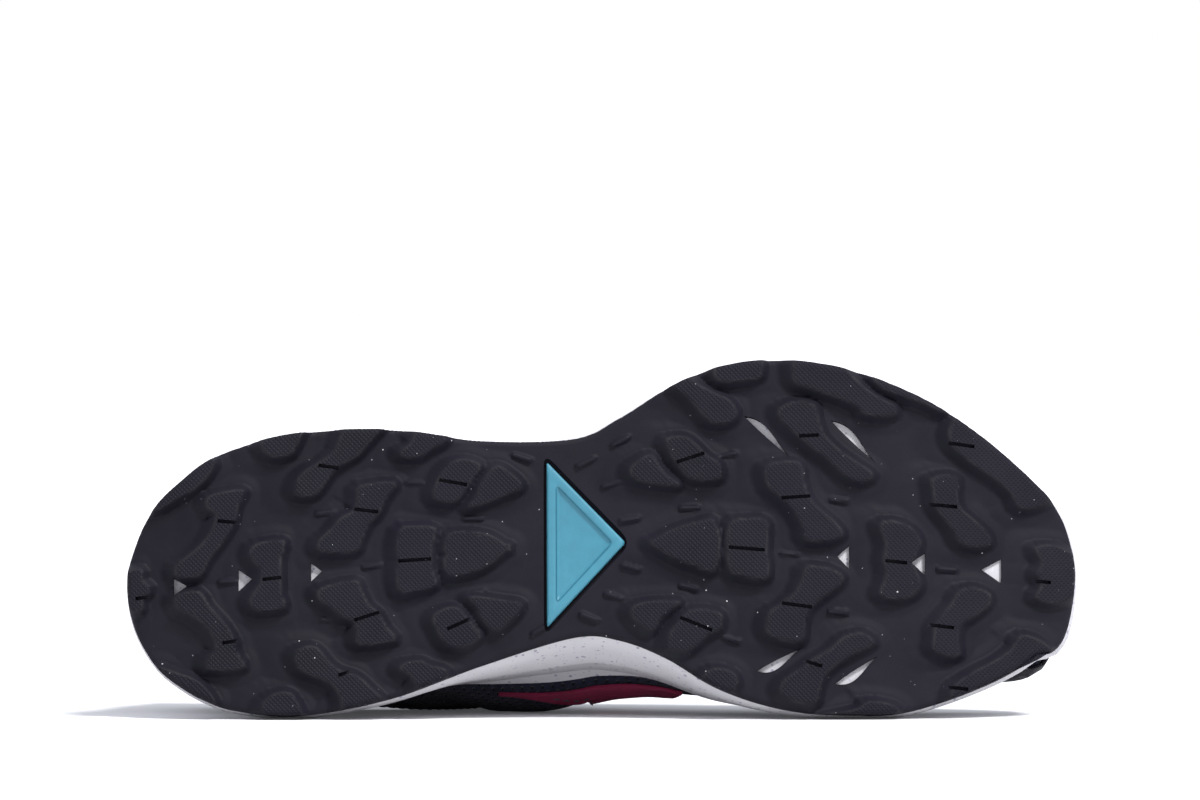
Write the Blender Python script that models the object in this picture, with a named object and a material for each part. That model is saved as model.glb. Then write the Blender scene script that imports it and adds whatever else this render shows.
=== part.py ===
"""Trail running shoe for the right foot, lying on its inner side.

The shoe is worked out standing: X runs from heel to toe, +Y is the inner (medial) side,
Z is the height over the ground. One empty then lays the whole shoe on its inner side,
on the three points that carry it: heel edge, forefoot edge and the swell of the collar.
"""
import math
from bisect import bisect_left
from collections import namedtuple
from functools import lru_cache

import bmesh
import bpy
import numpy as np
from mathutils import Matrix, Vector

# Driving dimensions, in metres
SOLE_LENGTH = 0.290
BALL_WIDTH = 0.109
LUG_DEPTH = 0.0038
LUG_DRAFT = 0.0016
SIPE_WIDTH = 0.0013
RUBBER = 0.0025
TOE_SPRING = 0.021
TOE_SPRING_START = 0.66
HEEL_BEVEL = 0.007
HEEL_BEVEL_END = 0.16
FOAM = 0.024
CUP_DEPTH = 0.012
CUP_WALL = 0.0045
SIDE_STEP = 0.0012
HEEL_HEIGHT = 0.074
UPPER_WALL = 0.0022
COLLAR_PAD = 0.0065
OVERLAY = 0.0012
TONGUE_THICKNESS = 0.0045
LACE_WIDTH = 0.0055
LACE_THICKNESS = 0.0013
EYELET_RADIUS = 0.0019
INSOLE = 0.0042
INSERT_RIM = 0.0030
INSERT_STEP = 0.0012
LOOP_WIDTH = 0.012
LOOP_THICKNESS = 0.0014
GAP = 0.0003

# Counts
COLUMNS = 64
UPPER_ROWS = (0.0, 0.09, 0.20, 0.33, 0.47, 0.62, 0.76, 0.89, 1.0)
EYELETS = (0.82, 0.71, 0.635, 0.58, 0.533, 0.487)
EYELET_ROW = 0.925

OUTER = -1
INNER = 1

# Outline of the rubber sole: distance along as a share of the sole's length,
# outer and inner side as shares of the ball width, from the reference line
Sole = namedtuple("Sole", "along outer inner")
SOLE_SECTIONS = (
    Sole(0.000, 0.005, 0.105),
    Sole(0.025, 0.177, 0.262),
    Sole(0.056, 0.257, 0.337),
    Sole(0.105, 0.337, 0.398),
    Sole(0.178, 0.383, 0.416),
    Sole(0.275, 0.392, 0.369),
    Sole(0.372, 0.361, 0.276),
    Sole(0.470, 0.366, 0.197),
    Sole(0.519, 0.425, 0.206),
    Sole(0.567, 0.504, 0.256),
    Sole(0.616, 0.561, 0.335),
    Sole(0.665, 0.585, 0.385),
    Sole(0.713, 0.583, 0.411),
    Sole(0.762, 0.561, 0.417),
    Sole(0.811, 0.517, 0.413),
    Sole(0.859, 0.457, 0.379),
    Sole(0.908, 0.374, 0.321),
    Sole(0.957, 0.252, 0.218),
    Sole(0.981, 0.172, 0.145),
    Sole(1.000, 0.035, 0.055),
)

# The line about which the tread is mirrored, off the reference line
Middle = namedtuple("Middle", "along across")
TREAD_MIDDLE = (
    Middle(0.00, 0.060),
    Middle(0.12, 0.031),
    Middle(0.30, -0.023),
    Middle(0.48, -0.071),
    Middle(0.60, -0.062),
    Middle(0.70, -0.042),
    Middle(0.80, -0.021),
    Middle(0.91, 0.000),
    Middle(1.00, 0.012),
)

# Lugs, each made on both sides of the tread's middle: outer end, bend and inner end as
# shares (along the sole, out from the middle), the widths there and whether a slit
# splits the lug at its bend
Lug = namedtuple("Lug", "name ends widths split")
LUGS = (
    Lug("heel tip", ((0.012, 0.096), (0.013, 0.051), (0.014, 0.008)), (0.034, 0.050, 0.062), False),
    Lug("heel corner", ((0.034, 0.253), (0.060, 0.295), (0.086, 0.326)), (0.022, 0.037, 0.034), False),
    Lug("heel hook", ((0.102, 0.256), (0.104, 0.177), (0.060, 0.073)), (0.070, 0.048, 0.055), True),
    Lug("heel side", ((0.161, 0.390), (0.162, 0.365), (0.163, 0.340)), (0.080, 0.060, 0.036), False),
    Lug("heel arm", ((0.243, 0.385), (0.214, 0.298), (0.182, 0.230)), (0.087, 0.067, 0.056), True),
    Lug("heel middle", ((0.147, 0.096), (0.146, 0.051), (0.144, 0.008)), (0.062, 0.051, 0.040), False),
    Lug("heel front", ((0.262, 0.222), (0.249, 0.154), (0.220, 0.053)), (0.084, 0.070, 0.090), True),
    Lug("waist side", ((0.320, 0.346), (0.310, 0.319), (0.298, 0.290)), (0.048, 0.050, 0.050), False),
    Lug("waist middle", ((0.305, 0.090), (0.303, 0.048), (0.300, 0.006)), (0.095, 0.084, 0.073), False),
    Lug("waist arm", ((0.353, 0.261), (0.344, 0.213), (0.332, 0.163)), (0.079, 0.073, 0.060), True),
    Lug("waist leaf", ((0.404, 0.216), (0.392, 0.177), (0.366, 0.140)), (0.045, 0.079, 0.022), False),
    Lug("waist tip", ((0.339, 0.030), (0.372, 0.027), (0.400, 0.007)), (0.067, 0.062, 0.017), False),
    Lug("ball corner", ((0.588, 0.450), (0.616, 0.404), (0.631, 0.365)), (0.034, 0.056, 0.067), False),
    Lug("ball side", ((0.645, 0.511), (0.644, 0.489), (0.643, 0.466)), (0.090, 0.084, 0.073), False),
    Lug("ball arm", ((0.576, 0.300), (0.593, 0.244), (0.607, 0.191)), (0.095, 0.079, 0.090), True),
    Lug("ball leaf", ((0.543, 0.236), (0.552, 0.202), (0.574, 0.171)), (0.040, 0.073, 0.022), False),
    Lug("ball tip", ((0.618, 0.039), (0.593, 0.034), (0.559, 0.011)), (0.079, 0.073, 0.028), False),
    Lug("ball middle", ((0.651, 0.070), (0.653, 0.039), (0.654, 0.011)), (0.084, 0.090, 0.095), False),
    Lug("fore arm", ((0.690, 0.250), (0.707, 0.157), (0.734, 0.045)), (0.084, 0.067, 0.073), True),
    Lug("fore hook", ((0.707, 0.427), (0.725, 0.331), (0.770, 0.233)), (0.093, 0.067, 0.050), True),
    Lug("fore side", ((0.709, 0.494), (0.757, 0.508), (0.802, 0.430)), (0.022, 0.056, 0.067), False),
    Lug("fore middle", ((0.810, 0.098), (0.811, 0.056), (0.810, 0.014)), (0.090, 0.079, 0.056), False),
    Lug("toe arm", ((0.862, 0.256), (0.868, 0.177), (0.891, 0.076)), (0.073, 0.062, 0.073), True),
    Lug("toe side", ((0.798, 0.492), (0.823, 0.480), (0.849, 0.466)), (0.020, 0.025, 0.020), False),
    Lug("toe corner", ((0.884, 0.396), (0.894, 0.343), (0.952, 0.230)), (0.062, 0.050, 0.062), True),
    Lug("toe tip", ((0.981, 0.084), (0.981, 0.048), (0.981, 0.008)), (0.062, 0.070, 0.073), False),
)

# Slots through the rubber, one on each side: two ends and the swell between them
Slot = namedtuple("Slot", "start end swell")
SLOTS = (
    Slot((0.651, 0.368), (0.696, 0.278), 0.045),
    Slot((0.744, 0.386), (0.788, 0.281), 0.045),
)

# Small triangles through the rubber on the tread's middle: base, apex and half base
Arrow = namedtuple("Arrow", "base apex half")
ARROWS = (
    Arrow(0.048, 0.060, 0.022),
    Arrow(0.116, 0.129, 0.030),
    Arrow(0.192, 0.202, 0.025),
    Arrow(0.761, 0.750, 0.032),
    Arrow(0.842, 0.828, 0.030),
    Arrow(0.923, 0.904, 0.036),
)

# Triangular plate at the waist: along and out shares of its base corners and its apex
INSERT_BASE = (0.441, 0.236)
INSERT_APEX = 0.525
INSERT_CORNER = 0.0035

# Foam under the foot as a share of FOAM
Bed = namedtuple("Bed", "along foam")
FOOTBED = (
    Bed(0.00, 0.82),
    Bed(0.15, 1.00),
    Bed(0.35, 1.00),
    Bed(0.50, 0.88),
    Bed(0.70, 0.68),
    Bed(0.85, 0.58),
    Bed(1.00, 0.46),
)

# Upper edge of the midsole round the shoe, from heel (0) to toe (1): height over the
# footbed as a share of CUP_DEPTH, and how far it stands in from the rubber's edge on
# each side, as a share of the ball width
Rim = namedtuple("Rim", "round height outer inner")
RIM = (
    Rim(0.00, 1.50, 0.060, 0.060),
    Rim(0.10, 1.33, 0.066, 0.066),
    Rim(0.20, 1.10, 0.072, 0.066),
    Rim(0.32, 0.95, 0.072, 0.034),
    Rim(0.40, 0.90, 0.045, -0.030),
    Rim(0.48, 0.90, 0.027, -0.084),
    Rim(0.55, 0.80, 0.045, -0.055),
    Rim(0.64, 0.72, 0.060, 0.006),
    Rim(0.73, 0.70, 0.055, 0.036),
    Rim(0.82, 0.68, 0.046, 0.041),
    Rim(0.90, 0.66, 0.041, 0.041),
    Rim(1.00, 0.64, 0.037, 0.037),
)

# Edge of the opening, collar and throat: where the column that starts at this place of
# the sole's edge ends; heights as shares of HEEL_HEIGHT over the footbed
Brim = namedtuple("Brim", "round along outer inner height")
OPENING = (
    Brim(0.00, 0.054, 0.041, 0.041, 0.985),
    Brim(0.06, 0.063, -0.062, 0.140, 0.960),
    Brim(0.12, 0.088, -0.155, 0.220, 0.895),
    Brim(0.20, 0.145, -0.238, 0.288, 0.775),
    Brim(0.28, 0.225, -0.284, 0.322, 0.655),
    Brim(0.36, 0.310, -0.289, 0.336, 0.725),
    Brim(0.43, 0.375, -0.255, 0.298, 0.985),
    Brim(0.50, 0.445, -0.204, 0.170, 0.965),
    Brim(0.58, 0.515, -0.178, 0.100, 0.850),
    Brim(0.67, 0.575, -0.174, 0.062, 0.750),
    Brim(0.78, 0.624, -0.168, 0.040, 0.670),
    Brim(0.90, 0.655, -0.132, 0.000, 0.620),
    Brim(1.00, 0.664, -0.066, -0.066, 0.605),
)

# How each column of the upper leaves the sole and meets the opening, as shares of
# HEEL_HEIGHT: out and up at the sole, out and down at the opening
Swell = namedtuple("Swell", "round foot_out foot_up top_out top_down")
SWELLS = (
    Swell(0.00, 0.055, 0.32, 0.06, 0.40),
    Swell(0.12, 0.055, 0.30, 0.06, 0.32),
    Swell(0.28, 0.055, 0.22, 0.04, 0.19),
    Swell(0.43, 0.080, 0.32, 0.09, 0.30),
    Swell(0.58, 0.090, 0.32, 0.19, 0.19),
    Swell(0.72, 0.065, 0.24, 0.32, 0.10),
    Swell(0.86, 0.040, 0.24, 0.48, 0.08),
    Swell(1.00, 0.040, 0.30, 0.62, 0.06),
)

# Free end of the tongue over the throat: steps back and up and the width left
Flap = namedtuple("Flap", "back up width")
TONGUE_END = (
    Flap(0.110, 0.140, 0.86),
    Flap(0.180, 0.280, 0.84),
    Flap(0.215, 0.400, 0.78),
    Flap(0.225, 0.450, 0.60),
)

# Material colours, linear, with roughness and metallic value
MATERIALS = {
    "rubber": ((0.028, 0.028, 0.036, 1.0), 0.62, 0.0),
    "insert": ((0.105, 0.395, 0.560, 1.0), 0.45, 0.0),
    "foam": ((0.640, 0.630, 0.660, 1.0), 0.70, 0.0),
    "mesh": ((0.014, 0.017, 0.034, 1.0), 0.90, 0.0),
    "lining": ((0.020, 0.022, 0.034, 1.0), 0.92, 0.0),
    "film": ((0.011, 0.011, 0.015, 1.0), 0.48, 0.0),
    "crimson": ((0.270, 0.022, 0.070, 1.0), 0.70, 0.0),
    "cord": ((0.150, 0.160, 0.200, 1.0), 0.85, 0.0),
}


@lru_cache(maxsize=None)
def curve_of(rows, column):
    """Places, values and slopes of one column of a table."""
    keys = [row[0] for row in rows]
    values = [getattr(row, column) for row in rows]
    return keys, values, np.gradient(values, keys).tolist()


def through(rows, at, column):
    """Smooth value of one column of a table at a place given in its first column."""
    keys, values, slopes = curve_of(rows, column)
    index = min(max(bisect_left(keys, at) - 1, 0), len(keys) - 2)
    step = keys[index + 1] - keys[index]
    t = (min(max(at, keys[0]), keys[-1]) - keys[index]) / step
    start = (1 + 2 * t) * (1 - t) ** 2 * values[index] + t * (1 - t) ** 2 * step * slopes[index]
    end = t * t * (3 - 2 * t) * values[index + 1] - t * t * (1 - t) * step * slopes[index + 1]
    return float(start + end)


def ease(value, low, high):
    """0 up to low, 1 from high on, and an even S between them."""
    t = min(max((value - low) / (high - low), 0.0), 1.0)
    return t * t * (3 - 2 * t)


def catmull(points, steps):
    """Closed smooth line through points, with a number of steps from each to the next."""
    line = []
    count = len(points)
    for i in range(count):
        a, b, c, d = (points[(i + k) % count] for k in (-1, 0, 1, 2))
        for j in range(steps):
            t = j / steps
            line.append(0.5 * (2 * b + (c - a) * t + (2 * a - 5 * b + 4 * c - d) * t * t
                               + (3 * b - a - 3 * c + d) * t ** 3))
    return line


# The sole's edge

def edge_line():
    """The rubber's outline as two dense lines, from the heel's middle to the toe's."""
    outer = [Vector((s.along * SOLE_LENGTH, -s.outer * BALL_WIDTH)) for s in SOLE_SECTIONS]
    inner = [Vector((s.along * SOLE_LENGTH, s.inner * BALL_WIDTH)) for s in SOLE_SECTIONS]
    steps = 20
    loop = catmull(outer + inner[::-1], steps)
    toe = (len(outer) - 1) * steps + steps // 2
    heel = len(loop) - steps // 2
    return {OUTER: loop[heel:] + loop[:toe + 1], INNER: (loop[toe:heel + 1])[::-1]}


def reaches(line):
    """Distance along a line of points up to each of them."""
    total = [0.0]
    for a, b in zip(line, line[1:]):
        total.append(total[-1] + (b - a).length)
    return total


EDGE = edge_line()
EDGE_REACH = {side: reaches(line) for side, line in EDGE.items()}


def place(turn):
    """Side and share from heel to toe of a place round the shoe, counted 0 to 2."""
    turn %= 2.0
    return (OUTER, turn) if turn <= 1.0 else (INNER, 2.0 - turn)


@lru_cache(maxsize=None)
def edge(turn):
    """Point of the rubber's outline at a place round the shoe."""
    side, share = place(turn)
    reach, line = EDGE_REACH[side], EDGE[side]
    at = share * reach[-1]
    index = min(max(bisect_left(reach, at) - 1, 0), len(line) - 2)
    return line[index].lerp(line[index + 1], (at - reach[index]) / (reach[index + 1] - reach[index]))


@lru_cache(maxsize=None)
def edge_out(turn):
    """Unit direction out of the outline, level."""
    way = edge(turn + 0.012) - edge(turn - 0.012)
    return Vector((way.y, -way.x)).normalized()


def rocker(x):
    """Height of the tread over the ground: heel bevel, flat and toe spring."""
    along = x / SOLE_LENGTH
    heel = max(0.0, 1 - along / HEEL_BEVEL_END)
    toe = max(0.0, (along - TOE_SPRING_START) / (1 - TOE_SPRING_START))
    return HEEL_BEVEL * heel ** 2 + TOE_SPRING * toe ** 2


def foam_bottom(x):
    return rocker(x) + LUG_DEPTH + RUBBER + GAP


def footbed(x):
    return foam_bottom(x) + FOAM * through(FOOTBED, x / SOLE_LENGTH, "foam")


def rim_inset(turn):
    """How far the midsole's upper edge stands in from the rubber's edge."""
    side, share = place(turn)
    return BALL_WIDTH * through(RIM, share, "outer" if side == OUTER else "inner")


def rim_height(turn):
    share = place(turn)[1]
    return footbed(edge(turn).x) + CUP_DEPTH * through(RIM, share, "height")


# The upper's own function

DECK = LUG_DEPTH + RUBBER + GAP + FOAM


@lru_cache(maxsize=None)
def column_ends(turn):
    """Control points of the upper's column at a place round the shoe."""
    side, share = place(turn)
    out = edge_out(turn).to_3d()
    flat = edge(turn) - edge_out(turn) * (rim_inset(turn) + CUP_WALL)
    foot = Vector((flat.x, flat.y, footbed(flat.x) + GAP))
    across = through(OPENING, share, "outer" if side == OUTER else "inner") * BALL_WIDTH
    height = DECK + HEEL_HEIGHT * through(OPENING, share, "height")
    top = Vector((through(OPENING, share, "along") * SOLE_LENGTH, across, height))
    swell = {name: HEEL_HEIGHT * through(SWELLS, share, name) for name in Swell._fields[1:]}
    above = foot + out * swell["foot_out"] + Vector((0, 0, swell["foot_up"]))
    below = top + out * swell["top_out"] - Vector((0, 0, swell["top_down"]))
    return foot, above, below, top


def skin(turn, row):
    """Point of the upper's outside: row 0 at the sole, row 1 at the opening."""
    a, b, c, d = column_ends(turn)
    t = 1 - row
    return a * t ** 3 + b * (3 * t * t * row) + c * (3 * t * row * row) + d * row ** 3


def skin_frame(turn, row):
    """Directions out of the skin and up along its column."""
    low, high = max(row - 0.03, 0.0), min(row + 0.03, 1.0)
    up = (skin(turn, high) - skin(turn, low)).normalized()
    round_way = skin(turn + 0.01, row) - skin(turn - 0.01, row)
    return round_way.cross(up).normalized(), up


def wall_thickness(turn, row):
    """Thin at the vamp and swelling to the padded collar."""
    share = place(turn)[1]
    pad = (1 - ease(share, 0.34, 0.44)) * ease(row, 0.35, 0.80)
    return UPPER_WALL + (COLLAR_PAD - UPPER_WALL) * pad


def wall(turn, q, lift=0.0):
    """Point of the upper's wall: 0 to 1 up its outside, to 2 over the edge, to 3 down inside."""
    row = q if q <= 1 else 1.0 if q <= 2 else 3 - q
    out, up = skin_frame(turn, row)
    thick = wall_thickness(turn, row)
    point = skin(turn, row)
    if q <= 1:
        return point + out * lift
    if q >= 2:
        return point - out * (thick + lift)
    angle = (q - 1) * math.pi
    return point - out * thick / 2 + (out * math.cos(angle) + up * math.sin(angle)) * (thick / 2 + lift)


def row_at_height(turn, height):
    """Row where the skin reaches a height over the ground."""
    low, high = 0.0, 1.0
    for _ in range(24):
        middle = (low + high) / 2
        if skin(turn, middle).z < height:
            low = middle
        else:
            high = middle
    return low


def turns_between(start, end, count):
    return [start + (end - start) * i / count for i in range(count + 1)]


def columns_between(start, end):
    """Places of the upper's own columns between two places, and the two ends themselves."""
    step = 2 / COLUMNS
    first, last = math.ceil(start / step + 0.25), math.floor(end / step - 0.25)
    return [start] + [k * step for k in range(first, last + 1)] + [end]


# Meshes and materials

def material(name):
    colour, roughness, metallic = MATERIALS[name]
    made = bpy.data.materials.get(name) or bpy.data.materials.new(name)
    made.use_nodes = True
    shader = made.node_tree.nodes["Principled BSDF"]
    shader.inputs["Base Color"].default_value = colour
    shader.inputs["Roughness"].default_value = roughness
    shader.inputs["Metallic"].default_value = metallic
    made.diffuse_color = colour
    return made


def add_object(name, mesh, material_name, collection):
    thing = bpy.data.objects.new(name, mesh)
    mesh.materials.clear()
    mesh.materials.append(material(material_name))
    collection.objects.link(thing)
    mesh.shade_smooth()
    mesh.set_sharp_from_angle(angle=math.radians(35))
    return thing


def mesh_from(name, points, faces):
    """Mesh with its faces turned outwards."""
    mesh = bpy.data.meshes.new(name)
    mesh.from_pydata([tuple(p) for p in points], [], faces)
    work = bmesh.new()
    work.from_mesh(mesh)
    bmesh.ops.recalc_face_normals(work, faces=work.faces)
    work.to_mesh(mesh)
    work.free()
    return mesh


def grid_faces(rows, columns, closed, start=0):
    """Quads of a grid of points listed row after row."""
    faces = []
    last = columns if closed else columns - 1
    for i in range(rows - 1):
        for j in range(last):
            k = (j + 1) % columns
            faces.append((start + i * columns + j, start + i * columns + k,
                          start + (i + 1) * columns + k, start + (i + 1) * columns + j))
    return faces


def sheet(name, front, back):
    """Closed slab between two open grids of the same size."""
    rows, columns = len(front), len(front[0])
    points = [p for row in front for p in row] + [p for row in back for p in row]
    half = rows * columns
    faces = grid_faces(rows, columns, False)
    faces += [tuple(reversed(f)) for f in grid_faces(rows, columns, False, half)]
    border = [j for j in range(columns)]
    border += [i * columns + columns - 1 for i in range(1, rows)]
    border += [(rows - 1) * columns + j for j in range(columns - 2, -1, -1)]
    border += [i * columns for i in range(rows - 2, 0, -1)]
    for a, b in zip(border, border[1:] + border[:1]):
        faces.append((b, a, a + half, b + half))
    return mesh_from(name, points, faces)


def ladder(start, count):
    """Faces that close a ring of points by straight rungs from side to side."""
    half = count // 2
    faces = [(start, start + 1, start + count - 1)]
    for j in range(1, half - 1):
        faces.append((start + j, start + j + 1, start + count - j - 1, start + count - j))
    faces.append((start + half - 1, start + half, start + half + 1))
    return faces


def prism(work, low, high):
    """Closed body between two outlines of the same count in a bmesh."""
    below = [work.verts.new(p) for p in low]
    above = [work.verts.new(p) for p in high]
    work.faces.new(below[::-1])
    work.faces.new(above)
    for i in range(len(below)):
        k = (i + 1) % len(below)
        work.faces.new((below[i], below[k], above[k], above[i]))


def mesh_of(work, name):
    bmesh.ops.recalc_face_normals(work, faces=work.faces)
    mesh = bpy.data.meshes.new(name)
    work.to_mesh(mesh)
    work.free()
    return mesh


def hidden(name, mesh, collection):
    """Cutter or guide that the build leaves out."""
    thing = bpy.data.objects.new(name, mesh)
    thing.hide_render = True
    thing.display_type = "WIRE"
    collection.objects.link(thing)
    return thing


def boolean(thing, other, operation, use_self=False):
    modifier = thing.modifiers.new(other.name, "BOOLEAN")
    modifier.operation = operation
    modifier.object = other
    modifier.solver = "EXACT"
    modifier.use_self = use_self


def evaluated_mesh(thing):
    bpy.context.view_layer.update()
    graph = bpy.context.evaluated_depsgraph_get()
    return bpy.data.meshes.new_from_object(thing.evaluated_get(graph))


# Tread

def tread_point(along, out, side):
    """Level place on the tread from its shares along and out of the middle line."""
    y = BALL_WIDTH * (through(TREAD_MIDDLE, along, "across") + side * out)
    return Vector((along * SOLE_LENGTH, y))


def lug_outlines(lug, side):
    """Outlines of the lug's ground faces: one, or two with a slit at the bend."""
    spine = [tread_point(along, out, side) for along, out in lug.ends]
    ways = [(spine[1] - spine[0]).normalized(), (spine[2] - spine[1]).normalized()]
    turns = [ways[0], (ways[0] + ways[1]).normalized(), ways[1]]
    halves = [Vector((-w.y, w.x)) * share * BALL_WIDTH / 2 for w, share in zip(turns, lug.widths)]
    if not lug.split:
        left = [p + h for p, h in zip(spine, halves)]
        right = [p - h for p, h in zip(spine, halves)]
        return [left + right[::-1]]
    slit = SIPE_WIDTH / 2 + LUG_DRAFT / 4
    near, far = spine[1] - ways[0] * slit, spine[1] + ways[1] * slit
    return [
        [spine[0] + halves[0], near + halves[1], near - halves[1], spine[0] - halves[0]],
        [far + halves[1], spine[2] + halves[2], spine[2] - halves[2], far - halves[1]],
    ]


def grown(outline, amount):
    """Outline with its corners moved out by an amount from its middle."""
    middle = sum(outline, Vector((0, 0))) / len(outline)
    return [p + (p - middle).normalized() * amount for p in outline]


def lug_mesh():
    """All lugs as drafted blocks that reach into the rubber sheet."""
    work = bmesh.new()
    root = LUG_DEPTH + RUBBER * 0.4
    for lug in LUGS:
        for side in (OUTER, INNER):
            for outline in lug_outlines(lug, side):
                base = grown(outline, LUG_DRAFT)
                prism(work, [(p.x, p.y, 0.0) for p in outline], [(p.x, p.y, root) for p in base])
    return mesh_of(work, "lugs")


def rounded(corners, radius, steps=4):
    """Outline with each corner rounded by an arc-like curve."""
    line = []
    count = len(corners)
    for i, corner in enumerate(corners):
        before = (corners[i - 1] - corner).normalized() * radius
        after = (corners[(i + 1) % count] - corner).normalized() * radius
        for j in range(steps + 1):
            t = j / steps
            line.append(corner + before * (1 - t) ** 2 + after * t * t)
    return line


def insert_outline(grow):
    """Rounded triangle of the waist plate, grown or shrunk on all sides."""
    along, out = INSERT_BASE
    corners = [tread_point(along, out, OUTER), tread_point(INSERT_APEX, 0, OUTER), tread_point(along, out, INNER)]
    middle = sum(corners, Vector((0, 0))) / 3
    edges = [(corners[i], corners[(i + 1) % 3]) for i in range(3)]
    inradius = min(abs((b - a).normalized().cross(middle - a)) for a, b in edges)
    scaled = [middle + (c - middle) * (1 + grow / inradius) for c in corners]
    return rounded(scaled, INSERT_CORNER + max(grow, 0.0))


def opening_outlines():
    """Outlines of all that is cut through the rubber."""
    outlines = [insert_outline(GAP * 2)]
    for slot in SLOTS:
        for side in (OUTER, INNER):
            start, end = (tread_point(*spot, side) for spot in (slot.start, slot.end))
            way = end - start
            belly = Vector((-way.y, way.x)).normalized() * side * slot.swell * BALL_WIDTH
            curved = [start + way * t + belly * 4 * t * (1 - t) for t in (0.0, 0.2, 0.4, 0.6, 0.8, 1.0)]
            flat = [start + way * t + belly * 0.8 * t * (1 - t) for t in (0.75, 0.5, 0.25)]
            outlines.append(curved + flat)
    for arrow in ARROWS:
        outlines.append([tread_point(arrow.base, arrow.half, OUTER), tread_point(arrow.apex, 0, OUTER),
                         tread_point(arrow.base, arrow.half, INNER)])
    return outlines


def prisms_mesh(name, outlines, bottom, top):
    work = bmesh.new()
    for outline in outlines:
        prism(work, [(p.x, p.y, bottom) for p in outline], [(p.x, p.y, top) for p in outline])
    return mesh_of(work, name)


def bent(mesh, spacing):
    """Lays a level mesh along the rocker, sliced first so that it can curve."""
    work = bmesh.new()
    work.from_mesh(mesh)
    count = int(SOLE_LENGTH / spacing)
    for i in range(count + 1):
        x = i * spacing + spacing * 0.37
        if HEEL_BEVEL_END * SOLE_LENGTH + spacing < x < TOE_SPRING_START * SOLE_LENGTH - spacing:
            continue
        geometry = work.verts[:] + work.edges[:] + work.faces[:]
        bmesh.ops.bisect_plane(work, geom=geometry, dist=1e-6, plane_co=(x, 0, 0), plane_no=(1, 0, 0))
    bmesh.ops.remove_doubles(work, verts=work.verts, dist=2e-5)
    bmesh.ops.dissolve_degenerate(work, edges=work.edges, dist=2e-5)
    bmesh.ops.triangulate(work, faces=work.faces)
    for vertex in work.verts:
        vertex.co.z += rocker(vertex.co.x)
    return mesh_of(work, mesh.name)


def outsole(parts, cutters):
    """Rubber sheet with its lugs, slots and the triangular opening at the waist."""
    count = COLUMNS + COLUMNS // 2
    rim = [edge(2 * j / count) for j in range(count)]
    proud = [edge(2 * j / count) + edge_out(2 * j / count) * GAP * 2 for j in range(count)]
    sheet_level = prisms_mesh("rubber_sheet", [rim], LUG_DEPTH, LUG_DEPTH + RUBBER)
    trim = hidden("tread_limit", prisms_mesh("tread_limit", [proud], -LUG_DEPTH, LUG_DEPTH + RUBBER * 2), cutters)
    lugs = hidden("tread_lugs", lug_mesh(), cutters)
    boolean(lugs, trim, "INTERSECT", use_self=True)
    openings = prisms_mesh("tread_openings", opening_outlines(), -LUG_DEPTH, LUG_DEPTH + RUBBER * 2)
    holes = hidden("tread_openings", openings, cutters)
    level = hidden("outsole_level", sheet_level, cutters)
    boolean(level, lugs, "UNION", use_self=True)
    boolean(level, holes, "DIFFERENCE")
    mesh = bent(evaluated_mesh(level), SOLE_LENGTH / 26)
    bpy.data.objects.remove(level)
    return add_object("outsole", mesh, "rubber", parts)


def arch_insert(parts):
    """Triangular plate with a raised border and a plain lower field."""
    bottom = LUG_DEPTH * 0.80
    top = LUG_DEPTH + RUBBER
    loops = [
        [(p.x, p.y, top) for p in insert_outline(0.0)],
        [(p.x, p.y, bottom + INSERT_STEP / 2) for p in insert_outline(0.0)],
        [(p.x, p.y, bottom) for p in insert_outline(-INSERT_STEP / 2)],
        [(p.x, p.y, bottom) for p in insert_outline(-INSERT_RIM)],
        [(p.x, p.y, bottom + INSERT_STEP) for p in insert_outline(-INSERT_RIM - INSERT_STEP / 2)],
    ]
    count = len(loops[0])
    points = [p for loop in loops for p in loop]
    faces = grid_faces(len(loops), count, True)
    faces.append(tuple(range(count))[::-1])
    faces.append(tuple(range((len(loops) - 1) * count, len(loops) * count)))
    return add_object("arch_insert", mesh_from("arch_insert", points, faces), "insert", parts)


# Midsole, insole and upper

def side_ring(out_share, step, height_share):
    """Ring on the midsole's side, between the rubber's edge and its upper edge."""
    ring = []
    for j in range(COLUMNS):
        turn = 2 * j / COLUMNS
        flat = edge(turn) - edge_out(turn) * (rim_inset(turn) * out_share - step)
        low, high = foam_bottom(flat.x), rim_height(turn)
        ring.append(Vector((flat.x, flat.y, low + (high - low) * height_share)))
    return ring


def cup_ring(row_share):
    """Ring on the inside of the midsole's cup, clear of the upper."""
    ring = []
    for j in range(COLUMNS):
        turn = 2 * j / COLUMNS
        row = row_at_height(turn, rim_height(turn)) * row_share
        ring.append(wall(turn, row, GAP))
    return ring


def midsole(parts):
    """Foam cup: wide foot, a step along its side and a rim that holds the upper."""
    floor = cup_ring(0.0)
    for point in floor:
        point.z = footbed(point.x)
    rings = [
        side_ring(0.0, -0.0004, 0.0),
        side_ring(0.10, 0.0010, 0.14),
        side_ring(0.42, 0.0012, 0.40),
        side_ring(0.62, SIDE_STEP, 0.52),
        side_ring(0.72, 0.0, 0.57),
        side_ring(0.94, 0.0004, 0.86),
        side_ring(1.12, 0.0, 1.0),
        cup_ring(1.0),
        cup_ring(0.5),
        floor,
    ]
    points = [p for ring in rings for p in ring]
    faces = grid_faces(len(rings), COLUMNS, True)
    faces += ladder(0, COLUMNS)
    faces += ladder((len(rings) - 1) * COLUMNS, COLUMNS)
    return add_object("midsole", mesh_from("midsole", points, faces), "foam", parts)


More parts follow.
